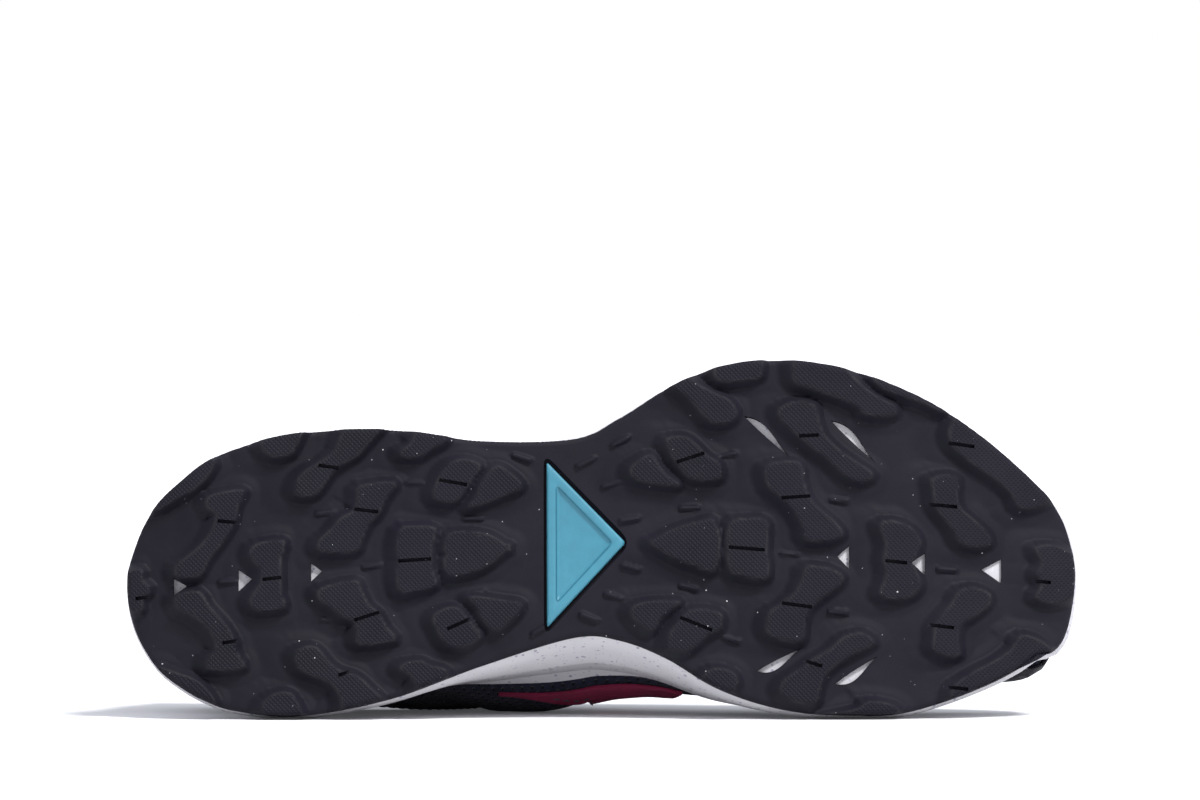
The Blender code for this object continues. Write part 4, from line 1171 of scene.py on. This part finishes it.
def insert_outline(grow):
    """Rounded triangle of the waist plate, grown or shrunk on all sides."""
    corners = triangle(*INSERT_BASE, INSERT_APEX)
    middle = sum(corners, Vector((0, 0))) / 3
    edges = [(corners[i], corners[(i + 1) % 3]) for i in range(3)]
    inradius = min(abs((b - a).normalized().cross(middle - a)) for a, b in edges)
    scaled = [middle + (c - middle) * (1 + grow / inradius) for c in corners]
    return rounded(scaled, INSERT_CORNER + max(grow, 0.0))


def opening_outlines():
    """Outlines of all that is cut through the rubber."""
    outlines = []
    for slot in SLOTS:
        start, end = from_photo(slot.x0, slot.y0), from_photo(slot.x1, slot.y1)
        way = end - start
        belly = Vector((-way.y, way.x)).normalized() * slot.swell
        steps = [i / 12 for i in range(13)]
        curved = [start + way * t + belly * 6.75 * t * (1 - t) ** 2 for t in steps]
        flat = [start + way * t - belly * 0.5 * t * (1 - t) for t in steps[-2:0:-1]]
        outlines.append(curved + flat)
    return outlines + [triangle(arrow.base, arrow.half, arrow.apex) for arrow in ARROWS]


def tread_grid():
    """Fine grid over the rubber's outline, stretched between its four joined edges."""
    lines = edge_line()
    corner = 0.09
    along, across = 430, 166
    u = np.linspace(0, 1, along)
    v = np.linspace(0, 1, across)
    inside = corner + (1 - 2 * corner) * u
    outer, inner = along_line(lines[OUTER], inside), along_line(lines[INNER], inside)
    lengths = [sum((b - a).length for a, b in zip(lines[s], lines[s][1:])) for s in (OUTER, INNER)]
    start = lengths[0] * (1 - corner) / sum(lengths)
    end = (lengths[0] + lengths[1] * corner) / sum(lengths)
    left = along_line(lines[OUTER][::-1] + lines[INNER][1:], start + (end - start) * v)
    right = along_line(lines[OUTER] + lines[INNER][::-1][1:], start + (end - start) * v)
    grid = ((1 - v)[None, :, None] * outer[:, None] + v[None, :, None] * inner[:, None]
            + (1 - u)[:, None, None] * left[None] + u[:, None, None] * right[None])
    for i, a in ((0, 1 - u), (along - 1, u)):
        for b, line in ((1 - v, outer), (v, inner)):
            grid -= a[:, None, None] * b[None, :, None] * line[i]
    return grid


class SHOE_OT_outsole(bpy.types.Operator):
    """Moulds the rubber tread with its lugs, slits, bars and openings"""

    bl_idname = "shoe.outsole"
    bl_label = "Outsole"

    def execute(self, context):
        depth, rubber = sizes().lug_depth, sizes().rubber
        grid = tread_grid()
        along, across = grid.shape[:2]
        x, y = grid[..., 0].ravel(), grid[..., 1].ravel()
        points = np.stack([x, y, depth - tread_relief(x, y)[0] + border_fall(x, y)], axis=1)
        index = np.arange(along * across).reshape(along, across)
        corners = [index[:-1, :-1], index[:-1, 1:], index[1:, 1:], index[1:, :-1]]
        faces = np.stack(corners, axis=-1).reshape(-1, 4)
        ring = np.concatenate([index[:, 0], index[-1, 1:], index[-2::-1, -1], index[0, -2:0:-1]])
        count = len(ring)
        back = points[ring].copy()
        back[:, 2] = depth + rubber
        start = len(points)
        points = np.concatenate([points, back])
        ids = np.arange(count)
        sides = np.stack([ring, np.roll(ring, -1), start + np.roll(ids, -1), start + ids], axis=-1)
        all_faces = faces.tolist() + sides.tolist()
        far = along + across - 2
        for i in range(along - 1):
            opposite = start + far + along - 1 - i
            all_faces.append([start + i, start + i + 1, opposite - 1, opposite])
        all_faces.append([start + i for i in range(along - 1, far + 1)])
        all_faces.append([start] + [start + i for i in range(count - 1, far + along - 2, -1)])
        thing = object_from("tread", points, all_faces)
        outwards(thing)
        slits = []
        for slit in SLITS:
            a, b = from_photo(slit.x0, slit.y0), from_photo(slit.x1, slit.y1)
            way = (b - a).normalized()
            half = Vector((-way.y, way.x)) * sizes().slit / 2
            slits.append([a - half, b - half, b + half, a + half])
        cut(thing, prisms("slits", slits, -depth, depth * 0.45))
        cut(thing, prisms("openings", opening_outlines(), -depth, depth + rubber * 2))
        cut(thing, prisms("seat", [insert_outline(0.0009)], -depth, depth + rubber - SEAT))
        co = places(thing)
        rise = tread_relief(co[:, 0].copy(), co[:, 1].copy())[1]
        store(thing, "crest", np.clip((rise - 0.98) / 0.06, 0, 1) * (co[:, 2] < depth * 0.25))
        store(thing, "near", np.clip(rise, -0.5, 1.5) * (co[:, 2] < depth))
        store(thing, "border", np.clip(1 - np.abs(rise - 0.97) / 0.16, 0, 1) * (co[:, 2] < depth * 0.5))
        rock(thing)
        finish_piece(thing, rubber_material(), "rubber", 38, "outsole")
        return {"FINISHED"}


class SHOE_OT_plate(bpy.types.Operator):
    """Makes the triangular plate at the waist with its raised border"""

    bl_idname = "shoe.plate"
    bl_label = "Waist plate"

    def execute(self, context):
        clear_selection()
        depth = sizes().lug_depth
        back = depth + sizes().rubber - SEAT
        face = depth * 0.80
        bpy.ops.mesh.primitive_circle_add(vertices=3, radius=0.02, fill_type="NGON")
        thing = context.object
        thing.name = "waist_plate"
        corners = triangle(*INSERT_BASE, INSERT_APEX)
        for vertex, corner in zip(thing.data.vertices, corners):
            vertex.co = (corner.x, corner.y, back)
        bpy.ops.object.mode_set(mode="EDIT")
        bpy.ops.mesh.select_all(action="SELECT")
        bpy.ops.mesh.extrude_region_move(TRANSFORM_OT_translate={"value": (0, 0, face - back)})
        bpy.ops.mesh.inset(thickness=INSERT_RIM, depth=0.0)
        bpy.ops.mesh.inset(thickness=0.0004, depth=0.0)
        bpy.ops.transform.translate(value=(0, 0, INSERT_STEP))
        bpy.ops.object.mode_set(mode="OBJECT")
        outwards(thing)
        for polygon in thing.data.polygons:
            polygon.select = False
        for vertex in thing.data.vertices:
            vertex.select = False
        nearest = [min(range(3), key=lambda k: (v.co.xy - corners[k]).length) for v in thing.data.vertices]
        for line in thing.data.edges:
            line.select = nearest[line.vertices[0]] == nearest[line.vertices[1]]
        bpy.ops.object.mode_set(mode="EDIT")
        bpy.ops.mesh.select_mode(type="EDGE")
        bpy.ops.mesh.bevel(offset=0.0010, segments=4, affect="EDGES")
        bpy.ops.object.mode_set(mode="OBJECT")
        soften(thing, 0.00022, 3, 35)
        finish_piece(thing, insert_material(), "insert", 12, "arch_insert")
        return {"FINISHED"}


def side_ring(side, turns):
    """Ring on the midsole's side."""
    ring = []
    for turn in turns:
        flat = edge(turn) - edge_out(turn) * (rim_inset(turn) * side.inward - side.proud)
        low, high = foam_bottom(flat.x), rim_height(turn)
        ring.append(Vector((flat.x, flat.y, low + (high - low) * side.high)))
    return ring


def closed_rings(name, rings):
    """Closed piece from rings of points, its first and last ring filled."""
    count = len(rings[0])
    faces = grid_faces(len(rings), count, True)
    faces += ladder(0, count) + ladder((len(rings) - 1) * count, count)
    thing = object_from(name, [p for ring in rings for p in ring], faces)
    outwards(thing)
    return thing


class SHOE_OT_midsole(bpy.types.Operator):
    """Forms the foam cup with its side step"""

    bl_idname = "shoe.midsole"
    bl_label = "Midsole"

    def execute(self, context):
        turns = [2 * j / RING for j in range(RING)]

        def cup(share):
            return [wall(turn, above_rim(turn, 0.0) * share, CLEAR) for turn in turns]

        rings = [side_ring(side, turns) for side in MIDSOLE_SIDE]
        rim = cup(1.0)
        top = rings[-1]
        rings.append([a.lerp(b, 0.5) + Vector((0, 0, 0.0003)) for a, b in zip(top, rim)])
        floor = cup(0.0)
        for point in floor:
            point.z = footbed(point.x)
        rings += [rim, cup(0.75), cup(0.5), cup(0.25), floor]
        thing = closed_rings("midsole_foam", rings)
        depth, rubber = sizes().lug_depth, sizes().rubber
        shrunk = []
        for outline in opening_outlines():
            middle = sum(outline, Vector((0, 0))) / len(outline)
            shrunk.append([middle.lerp(point, 0.95) for point in outline])
        plugs = prisms("plugs", shrunk, depth + 0.0012, depth + rubber + CLEAR * 2)
        rock(plugs)
        pick(thing)
        plugs.select_set(True)
        bpy.ops.object.join()
        finish_piece(thing, foam_material(), "foam", 28, "midsole")
        return {"FINISHED"}


class SHOE_OT_insole(bpy.types.Operator):
    """Makes the loose cupped footbed"""

    bl_idname = "shoe.insole"
    bl_label = "Insole"

    def execute(self, context):
        turns = [2 * j / 160 for j in range(160)]
        rings = []
        for inset, lift in ((0.0, 0.0), (0.0, 0.0050), (0.0006, 0.0057), (0.0016, 0.0055),
                            (0.006, 0.0042), (0.010, 0.0040), (0.014, 0.0040)):
            ring = []
            for turn in turns:
                flat = wall(turn, 3.0, CLEAR * 2) - edge_out(turn).to_3d() * inset
                ring.append(Vector((flat.x, flat.y, footbed(flat.x) + CLEAR + lift)))
            rings.append(ring)
        thing = closed_rings("sock_liner", rings)
        points = thing.data.vertices
        lay_pattern(thing, [tuple(points[i].co.xy) for p in thing.data.polygons for i in p.vertices])
        made = cloth_material("sock liner", "lining", thread=0.0009, roughness=0.92)
        finish_piece(thing, made, "lining", 50, "insole")
        return {"FINISHED"}


def eyelet_pins():
    """Round pins at every eyelet, to cut the holes with."""
    made = []
    for share in EYELETS:
        for turn in (share, 2 - share):
            out = skin_frame(turn, EYELET_ROW)[0]
            clear_selection()
            bpy.ops.mesh.primitive_cylinder_add(vertices=20, radius=EYELET_RADIUS, depth=EYELET_PIN)
            pin = bpy.context.object
            spot = wall(turn, EYELET_ROW, (OVERLAY - UPPER_WALL) / 2)
            pin.data.transform(Matrix.Translation(spot) @ out.to_track_quat("Z", "Y").to_matrix().to_4x4())
            made.append(pin)
    clear_selection()
    for pin in made:
        pin.select_set(True)
    bpy.context.view_layer.objects.active = made[0]
    bpy.ops.object.join()
    return made[0]


def worn(turn, q, lift=0.0):
    """Point of the upper's wall with its creases."""
    row = skin_row(q)
    return wall(turn, q, lift) - skin_frame(turn, row)[0] * crease_depth(turn, row) * ease(row, 0.1, 0.3)


class SHOE_OT_upper(bpy.types.Operator):
    """Sews the hollow upper with its padded collar, worn creases and eyelet holes"""

    bl_idname = "shoe.upper"
    bl_label = "Upper"

    def execute(self, context):
        columns = RING
        outside = [i / 34 for i in range(35)]
        over = [1 + i / 8 for i in range(1, 8)]
        inside = [2 + i / 18 for i in range(19)]
        levels = outside + over + inside
        grid = [[worn(2 * j / columns, q) for j in range(columns)] for q in levels]
        faces = grid_faces(len(levels), columns, True)
        last = (len(levels) - 1) * columns
        faces += [(j, (j + 1) % columns, last + (j + 1) % columns, last + j) for j in range(columns)]
        thing = object_from("upper_shell", [p for line in grid for p in line], faces)
        across, up = spread(grid, True, len(outside) // 2)
        uv = []
        for polygon in thing.data.polygons:
            here = [divmod(index, columns) for index in polygon.vertices]
            wraps = max(j for _, j in here) - min(j for _, j in here) > columns // 2
            uv += [(across[columns] if wraps and j == 0 else across[j], up[i, j]) for i, j in here]
            low = min(i for i, _ in here)
            polygon.material_index = 1 if low >= len(outside) + 1 else 0
        lay_pattern(thing, uv)
        outwards(thing)
        woven = cloth_material("woven upper", "mesh", thread=0.0007, hole=0.0030, roughness=0.80)
        lining = cloth_material("collar lining", "lining", thread=0.0010, hole=0.0026, roughness=0.95,
                                sheen=0.5)
        thing.data.materials.append(woven)
        thing.data.materials.append(lining)
        cut(thing, eyelet_pins())
        finish_piece(thing, None, "mesh", 60, "upper")
        return {"FINISHED"}


def patch(name, turns, low_row, high_row, rows, lift=OVERLAY_LIFT):
    """Overlay on the skin between two rows that may change round the shoe."""
    ends = [(turn, low_row(turn), high_row(turn)) for turn in turns]
    grids = []
    for height in (lift + OVERLAY, lift):
        grids.append([[worn(turn, low + (high - low) * i / rows, height) for turn, low, high in ends]
                      for i in range(rows + 1)])
    thing = slab(name, *grids)
    soften(thing, 0.0004, 2, 50)
    return thing


def toe_top(turn):
    return above_rim(turn) + 0.05 + 0.30 * (1 - ease(abs(turn - 1), 0.04, 0.36))


def heel_top(turn):
    off = abs((turn + 1) % 2 - 1)
    return above_rim(turn) + 0.06 + 0.34 * (1 - ease(off, 0.05, 0.30))


def panel_low(turn):
    return above_rim(turn, 0.0022 if place(turn)[0] == OUTER else 0.0030)


def panel_top(turn):
    side, share = place(turn)
    if side == OUTER:
        return 0.76 - 0.30 * ease(abs(share - 0.50), 0.02, 0.13)
    lens = 0.008 + 0.065 * ease(share, 0.40, 0.49)
    lens += 0.45 * ease(share, 0.495, 0.545) - 0.45 * ease(share, 0.55, 0.59)
    return panel_low(turn) + lens


class SHOE_OT_overlays(bpy.types.Operator):
    """Lays the toe cap, heel counter, side panels and eyestay on the upper"""

    bl_idname = "shoe.overlays"
    bl_label = "Overlays"

    def execute(self, context):
        film = film_material()
        toe = patch("toe_bumper", turns_between(0.6563, 1.3437, 80), above_rim, toe_top, 12)
        finish_piece(toe, film, "film", 45, "toe_cap")
        heel = patch("heel_cup", turns_between(-0.25, 0.25, 64), above_rim, heel_top, 12)
        finish_piece(heel, film, "film", 45, "heel_counter")
        crimson = cloth_material("crimson panel", "crimson", thread=0.0008, roughness=0.6, sheen=0.0)
        for name, node, start, end in (("side_panel_outer", "saddle_outer", 0.3906, 0.6250),
                                       ("side_panel_inner", "saddle_inner", 1.4120, 1.6000)):
            panel = patch(name, turns_between(start, end, 36), panel_low, panel_top, 24, lift=CLEAR * 2.5)
            finish_piece(panel, crimson, "crimson", 45, node)
        stay = patch("lace_stay", turns_between(0.4375, 1.5625, 176), lambda t: 0.84, lambda t: 0.985, 8)
        cut(stay, eyelet_pins())
        finish_piece(stay, film, "film", 45, "eyestay")
        return {"FINISHED"}


def tongue_section(share, lift):
    """Line across the tongue: under the outer edge, over the arch, under the inner edge."""
    rows = (0.83, 0.86, 0.89, 0.93, 0.965, 1.0)
    line = [wall(share, 3 - row, lift) for row in rows]
    line += [bridge(share, b / 14, lift) for b in range(1, 14)]
    return line + [wall(2 - share, 3 - row, lift) for row in reversed(rows)]


class SHOE_OT_tongue(bpy.types.Operator):
    """Makes the padded tongue under the throat with its free end over the collar"""

    bl_idname = "shoe.tongue"
    bl_label = "Tongue"

    def execute(self, context):
        grids = []
        for lift in (TONGUE_CLEAR, TONGUE_CLEAR + sizes().tongue):
            shares = turns_between(TONGUE_START, TONGUE_STOP, 64)
            grid = [tongue_section(share, lift) for share in shares]
            root = grid[-1]
            middle = sum(root, Vector()) / len(root)
            steps = [(0.0, 0.0, 1.0)] + [(f.back, f.up, f.width) for f in TONGUE_END]
            knots = [Vector(step) for step in steps]
            for i in range(len(knots) - 1):
                before = knots[i - 1] if i else knots[0] * 2 - knots[1]
                after = knots[i + 2] if i + 2 < len(knots) else knots[i + 1]
                for j in range(1, 7):
                    back, high, width = spline(before, knots[i], knots[i + 1], after, j / 6)
                    move = Vector((-back * sizes().heel_height, 0, high * sizes().heel_height))
                    grid.append([Vector((p.x, middle.y + (p.y - middle.y) * width, p.z)) + move
                                 for p in root])
            grids.append(grid)
        front, back = grids
        columns = len(front[0])
        for i, (line, under) in enumerate(zip(front, back)):
            seam = math.exp(-((i % 12) / 1.1 - 5.5) ** 2)
            for j, (p, q) in enumerate(zip(line, under)):
                lengthwise = math.exp(-((abs(j - (columns - 1) / 2) - 4) / 0.7) ** 2)
                hollow = max(seam * (1 - ease(abs(j - (columns - 1) / 2), 4, 6)), lengthwise)
                line[j] = p.lerp(q, 0.24 * hollow)
        thing = slab("tongue_pad", front, back)
        soften(thing, 0.0011, 3, 55)
        made = cloth_material("tongue cloth", "mesh", thread=0.0009, hole=0.0034, roughness=0.88, sheen=0.4)
        finish_piece(thing, made, "mesh", 60, "tongue")
        return {"FINISHED"}


def smooth_path(points, steps):
    """Open smooth line through points that may hold any number of values."""
    p = np.array([tuple(q) for q in points], float)
    p = np.vstack([2 * p[0] - p[1], p, 2 * p[-1] - p[-2]])
    line = [spline(*p[i - 1:i + 3], j / steps) for i in range(1, len(p) - 2) for j in range(steps)]
    return np.array(line + [p[-2]])


def lace_strip(name, stations):
    """Flat lace along stations of (place, outward direction, half width, half thickness)."""
    rows = smooth_path([(*p, *o, w, t) for p, o, w, t in stations], 5)
    around = 12
    points, faces = [], []
    reach = 0.0
    lengths = []
    for i, row in enumerate(rows):
        here = Vector(row[0:3])
        ahead = Vector(rows[min(i + 1, len(rows) - 1)][0:3]) - Vector(rows[max(i - 1, 0)][0:3])
        over = Vector(row[3:6])
        way = ahead.normalized()
        over = (over - way * over.dot(way)).normalized()
        side = over.cross(way)
        if i:
            reach += (here - Vector(rows[i - 1][0:3])).length
        lengths.append(reach)
        for k in range(around):
            angle = math.tau * k / around
            c, s = math.cos(angle), math.sin(angle)
            points.append(here + side * row[6] * math.copysign(abs(c) ** 0.7, c)
                          + over * row[7] * math.copysign(abs(s) ** 0.8, s))
    faces = grid_faces(len(rows), around, True)
    faces.append(tuple(range(around))[::-1])
    faces.append(tuple(range((len(rows) - 1) * around, len(rows) * around)))
    thing = object_from(name, points, faces)
    uv = []
    for polygon in thing.data.polygons:
        ks = [index % around for index in polygon.vertices]
        wraps = max(ks) - min(ks) > around // 2
        for index in polygon.vertices:
            k = index % around
            uv.append((lengths[index // around], 0.0009 * (around if wraps and k == 0 else k)))
    lay_pattern(thing, uv)
    outwards(thing)
    return thing


def eyelet_end(turn):
    """Stations from inside an eyelet, over the stay and down to the tongue's edge."""
    out = skin_frame(turn, EYELET_ROW)[0]
    top = OVERLAY_TOP
    return [
        (wall(turn, EYELET_ROW, -0.0016), out, 0.0014, 0.0009),
        (wall(turn, EYELET_ROW + 0.004, top - 0.0002), out, 0.0016, 0.0009),
        (wall(turn, EYELET_ROW + 0.025, top + 0.0011), out, 0.0021, 0.0008),
        (wall(turn, 0.985, top + 0.0010), skin_frame(turn, 0.985)[0], 0.0025, 0.0007),
    ]


def over_tongue(first, last, raised):
    """Stations of a lace over the tongue between two places (share, way across)."""
    low = TONGUE_CLEAR - CLEAR * 2
    half_width, half_thickness = sizes().lace_width / 2, sizes().lace_thickness / 2
    stations = []
    for i in range(9):
        t = i / 8
        share, b = first[0] + (last[0] - first[0]) * t, first[1] + (last[1] - first[1]) * t
        here = bridge(share, b, low)
        over = (bridge(share, b, low - 0.001) - here).normalized()
        hump = raised * math.exp(-((t - 0.5) / 0.20) ** 2)
        edge_lift = 0.0012 * (1 - ease(min(t, 1 - t), 0.0, 0.16))
        spot = here + over * (CLEAR + 0.0007 + hump + edge_lift)
        stations.append((spot, over, half_width, half_thickness))
    return stations


def lace_run(name, start, end, side, raised):
    """One lace from an eyelet on one side over the tongue to one on the other."""
    turns = (start, 2 - end) if side == OUTER else (2 - start, end)
    margin = (start - end) * LACE_MARGIN
    ways = (LACE_EDGE, 1 - LACE_EDGE) if side == OUTER else (1 - LACE_EDGE, LACE_EDGE)
    middle = over_tongue((start - margin, ways[0]), (end + margin, ways[1]), raised)
    return lace_strip(name, eyelet_end(turns[0]) + middle + eyelet_end(turns[1])[::-1])


class SHOE_OT_laces(bpy.types.Operator):
    """Runs the lace through the eyelets over the tongue, to the top pair"""

    bl_idname = "shoe.laces"
    bl_label = "Laces"

    def execute(self, context):
        made = cloth_material("lace weave", "cord", thread=0.0011, roughness=0.82, sheen=0.3,
                              thread_depth=0.00025)
        bar = EYELETS[0] + 0.040
        middle = over_tongue((bar, LACE_EDGE), (bar, 1 - LACE_EDGE), 0.0)
        stations = eyelet_end(EYELETS[0]) + middle + eyelet_end(2 - EYELETS[0])[::-1]
        finish_piece(lace_strip("lace_bar_run", stations), made, "cord", 50, "lace_bar")
        for k, (start, end) in enumerate(zip(EYELETS, EYELETS[1:]), 1):
            under = lace_run(f"lace_run_{k}_a", start, end, OUTER, 0.0)
            finish_piece(under, made, "cord", 50, f"lace_cross_{k}")
            finish_piece(lace_run(f"lace_run_{k}_b", start, end, INNER, LACE_RISE), made, "cord", 50)
        return {"FINISHED"}


class SHOE_OT_heel_loop(bpy.types.Operator):
    """Folds the pull strap over the collar at the back of the heel"""

    bl_idname = "shoe.heel_loop"
    bl_label = "Heel loop"

    def execute(self, context):
        reach = sizes().loop_width / 2 / edge_table()[OUTER][1][-1]
        turns = turns_between(-reach, reach, 10)
        outside = [0.78 + 0.22 * i / 12 for i in range(13)]
        levels = outside + [1 + i / 14 for i in range(1, 15)] + [2.06, 2.12, 2.17, 2.22]
        lifts = (CLEAR * 2 + STRAP, CLEAR * 2)
        grids = [[[wall(turn, q, lift) for turn in turns] for q in levels] for lift in lifts]
        thing = slab("pull_strap", *grids)
        soften(thing, 0.0004, 2, 50)
        made = cloth_material("strap weave", "crimson", thread=0.0013, roughness=0.7, sheen=0.3,
                              thread_depth=0.00022)
        finish_piece(thing, made, "crimson", 50, "heel_loop")
        return {"FINISHED"}


def stitch_line(line, pitch=0.0031):
    """Places and directions of stitches along stations of (place, outward direction)."""
    rows = smooth_path([(*p, *o) for p, o in line], 4)
    reach = lengths_along(rows[:, :3])
    at = np.arange(pitch / 2, reach[-1] - pitch / 2, pitch)
    columns = [np.interp(at, reach, rows[:, k]) for k in range(6)]
    ahead = [np.interp(at + 0.0005, reach, rows[:, k]) for k in range(3)]
    return np.stack(columns + ahead, axis=1)


class SHOE_OT_stitches(bpy.types.Operator):
    """Sews rows of stitches along the overlays and the collar"""

    bl_idname = "shoe.stitches"
    bl_label = "Stitches"

    def execute(self, context):
        def row_of(start, end, count, row_at, lift):
            rows = [(turn, row_at(turn)) for turn in turns_between(start, end, count)]
            return [(worn(turn, row, lift), skin_frame(turn, row)[0]) for turn, row in rows]

        lines = [
            row_of(0.445, 1.555, 120, lambda t: 0.862, OVERLAY_TOP),
            row_of(0.667, 1.333, 70, lambda t: toe_top(t) - 0.022, OVERLAY_TOP),
            row_of(-0.24, 0.24, 50, lambda t: heel_top(t) - 0.020, OVERLAY_TOP),
            row_of(-0.42, 0.42, 90, lambda t: 0.80, 0.0),
            row_of(-0.42, 0.42, 90, lambda t: 0.955, 0.0),
            row_of(0.402, 0.614, 26, lambda t: panel_top(t) - 0.025, OVERLAY_TOP + CLEAR),
            row_of(1.455, 1.560, 14, lambda t: panel_top(t) - 0.025, OVERLAY_TOP + CLEAR),
        ]
        clear_selection()
        bpy.ops.mesh.primitive_uv_sphere_add(segments=6, ring_count=4, radius=0.00026)
        seed = context.object
        seed.data.transform(Matrix.Diagonal((4.2, 1.0, 1.0, 1.0)))
        shape = places(seed)
        shape_faces = [tuple(p.vertices) for p in seed.data.polygons]
        bpy.data.objects.remove(seed)
        points, faces = [], []
        for line in lines:
            for row in stitch_line(line):
                here, over, ahead = Vector(row[0:3]), Vector(row[3:6]).normalized(), Vector(row[6:9])
                way = (ahead - here).normalized()
                side = over.cross(way).normalized()
                start = len(points)
                points += [here + way * p[0] + side * p[1] + over * (p[2] + 0.00006) for p in shape]
                faces += [tuple(start + i for i in f) for f in shape_faces]
        thing = object_from("stitching", points, faces)
        finish_piece(thing, thread_material(), "film", 60)
        return {"FINISHED"}


def lit_and_seen(tree, lit, seen):
    """Mixes a shader that lights the scene with the one that the camera sees."""
    rays = tree.nodes.new("ShaderNodeLightPath").outputs["Is Camera Ray"]
    return add(tree, "ShaderNodeMixShader", {0: rays, 1: lit.outputs[0], 2: seen.outputs[0]}).outputs[0]


class SHOE_OT_stage(bpy.types.Operator):
    """Sets the pale floor, the soft lights and the camera"""

    bl_idname = "shoe.stage"
    bl_label = "Stage"

    def execute(self, context):
        clear_selection()
        bpy.ops.mesh.primitive_circle_add(vertices=96, radius=30, fill_type="NGON")
        floor = context.object
        floor.name = "floor"
        made, tree, shader = new_material("pale floor", 0.8, specular=0.0)
        shader.inputs["Base Color"].default_value = (0.90, 0.90, 0.91, 1)
        shader.inputs["Emission Color"].default_value = (0.93, 0.95, 1.0, 1)
        shader.inputs["Emission Strength"].default_value = 0.05
        dim = add(tree, "ShaderNodeBsdfDiffuse", {"Color": (0.80, 0.80, 0.81, 1)})
        tree.links.new(lit_and_seen(tree, dim, shader), tree.nodes["Material Output"].inputs["Surface"])
        floor.data.materials.append(made)
        context.scene.view_settings.view_transform = "Standard"
        world = bpy.data.worlds.new("studio")
        context.scene.world = world
        world.use_nodes = True
        tree = world.node_tree
        towards = add(tree, "ShaderNodeTexCoord").outputs["Generated"]
        upward = add(tree, "ShaderNodeVectorMath", {0: towards, 1: (-0.15, 0.35, 0.92)},
                     operation="DOT_PRODUCT")
        power = spread_range(tree, upward.outputs["Value"], -0.35, 0.85, 0.07, 0.95)
        room = add(tree, "ShaderNodeBackground", {"Color": (0.90, 0.92, 1.0, 1), "Strength": power})
        white = add(tree, "ShaderNodeBackground", {"Color": (1, 1, 1, 1), "Strength": 1.0})
        tree.links.new(lit_and_seen(tree, room, white), tree.nodes["World Output"].inputs["Surface"])
        for name, towards, angle, energy in (
            ("key", (-0.38, 0.46, -0.80), 14, 3.3),
            ("fill", (-0.10, 0.98, -0.15), 70, 0.36),
        ):
            data = bpy.data.lights.new(name, "SUN")
            data.angle = math.radians(angle)
            data.energy = energy
            light = bpy.data.objects.new(name, data)
            context.scene.collection.objects.link(light)
            light.rotation_euler = Vector(towards).to_track_quat("-Z", "Y").to_euler()
        data = bpy.data.cameras.new("camera")
        camera = bpy.data.objects.new("camera", data)
        context.scene.collection.objects.link(camera)
        tread_front, distance, eye_height, sensor = -0.0745, 3.0, 0.125, 36
        data.sensor_width = sensor
        data.lens = sensor * distance * PHOTO_SCALE / PHOTO_WIDTH
        across = (PHOTO_WIDTH / 2 - PHOTO_X) / PHOTO_SCALE
        camera.location = (across, tread_front - distance, eye_height)
        target = Vector((across, tread_front, (PHOTO_FLOOR - PHOTO_HEIGHT / 2) / PHOTO_SCALE))
        camera.rotation_euler = (target - camera.location).to_track_quat("-Z", "Y").to_euler()
        data.clip_end = 50
        context.scene.camera = camera
        return {"FINISHED"}


class SHOE_PT_panel(bpy.types.Panel):
    """Lists the shoe's pieces"""

    bl_idname = "SHOE_PT_panel"
    bl_label = "Trail shoe"
    bl_space_type = "VIEW_3D"
    bl_region_type = "UI"
    bl_category = "Shoe"

    def draw(self, context):
        for operator in OPERATORS:
            self.layout.operator(operator.bl_idname)
        for group in (context.scene.shoe_sizes, context.scene.shoe_colours):
            for name in group.__annotations__:
                self.layout.prop(group, name)


OPERATORS = (
    SHOE_OT_stage, SHOE_OT_outsole, SHOE_OT_plate, SHOE_OT_midsole, SHOE_OT_insole, SHOE_OT_upper,
    SHOE_OT_overlays, SHOE_OT_tongue, SHOE_OT_laces, SHOE_OT_heel_loop, SHOE_OT_stitches,
)
CLASSES = (ShoeSizes, ShoeColours, *OPERATORS, SHOE_PT_panel)


def register():
    for item in CLASSES:
        bpy.utils.register_class(item)
    bpy.types.Scene.shoe_sizes = PointerProperty(type=ShoeSizes)
    bpy.types.Scene.shoe_colours = PointerProperty(type=ShoeColours)


def unregister():
    del bpy.types.Scene.shoe_colours
    del bpy.types.Scene.shoe_sizes
    for item in reversed(CLASSES):
        bpy.utils.unregister_class(item)


def main():
    register()
    for operator in OPERATORS:
        getattr(bpy.ops.shoe, operator.bl_idname.split(".")[1])()


if __name__ == "__main__":
    main()
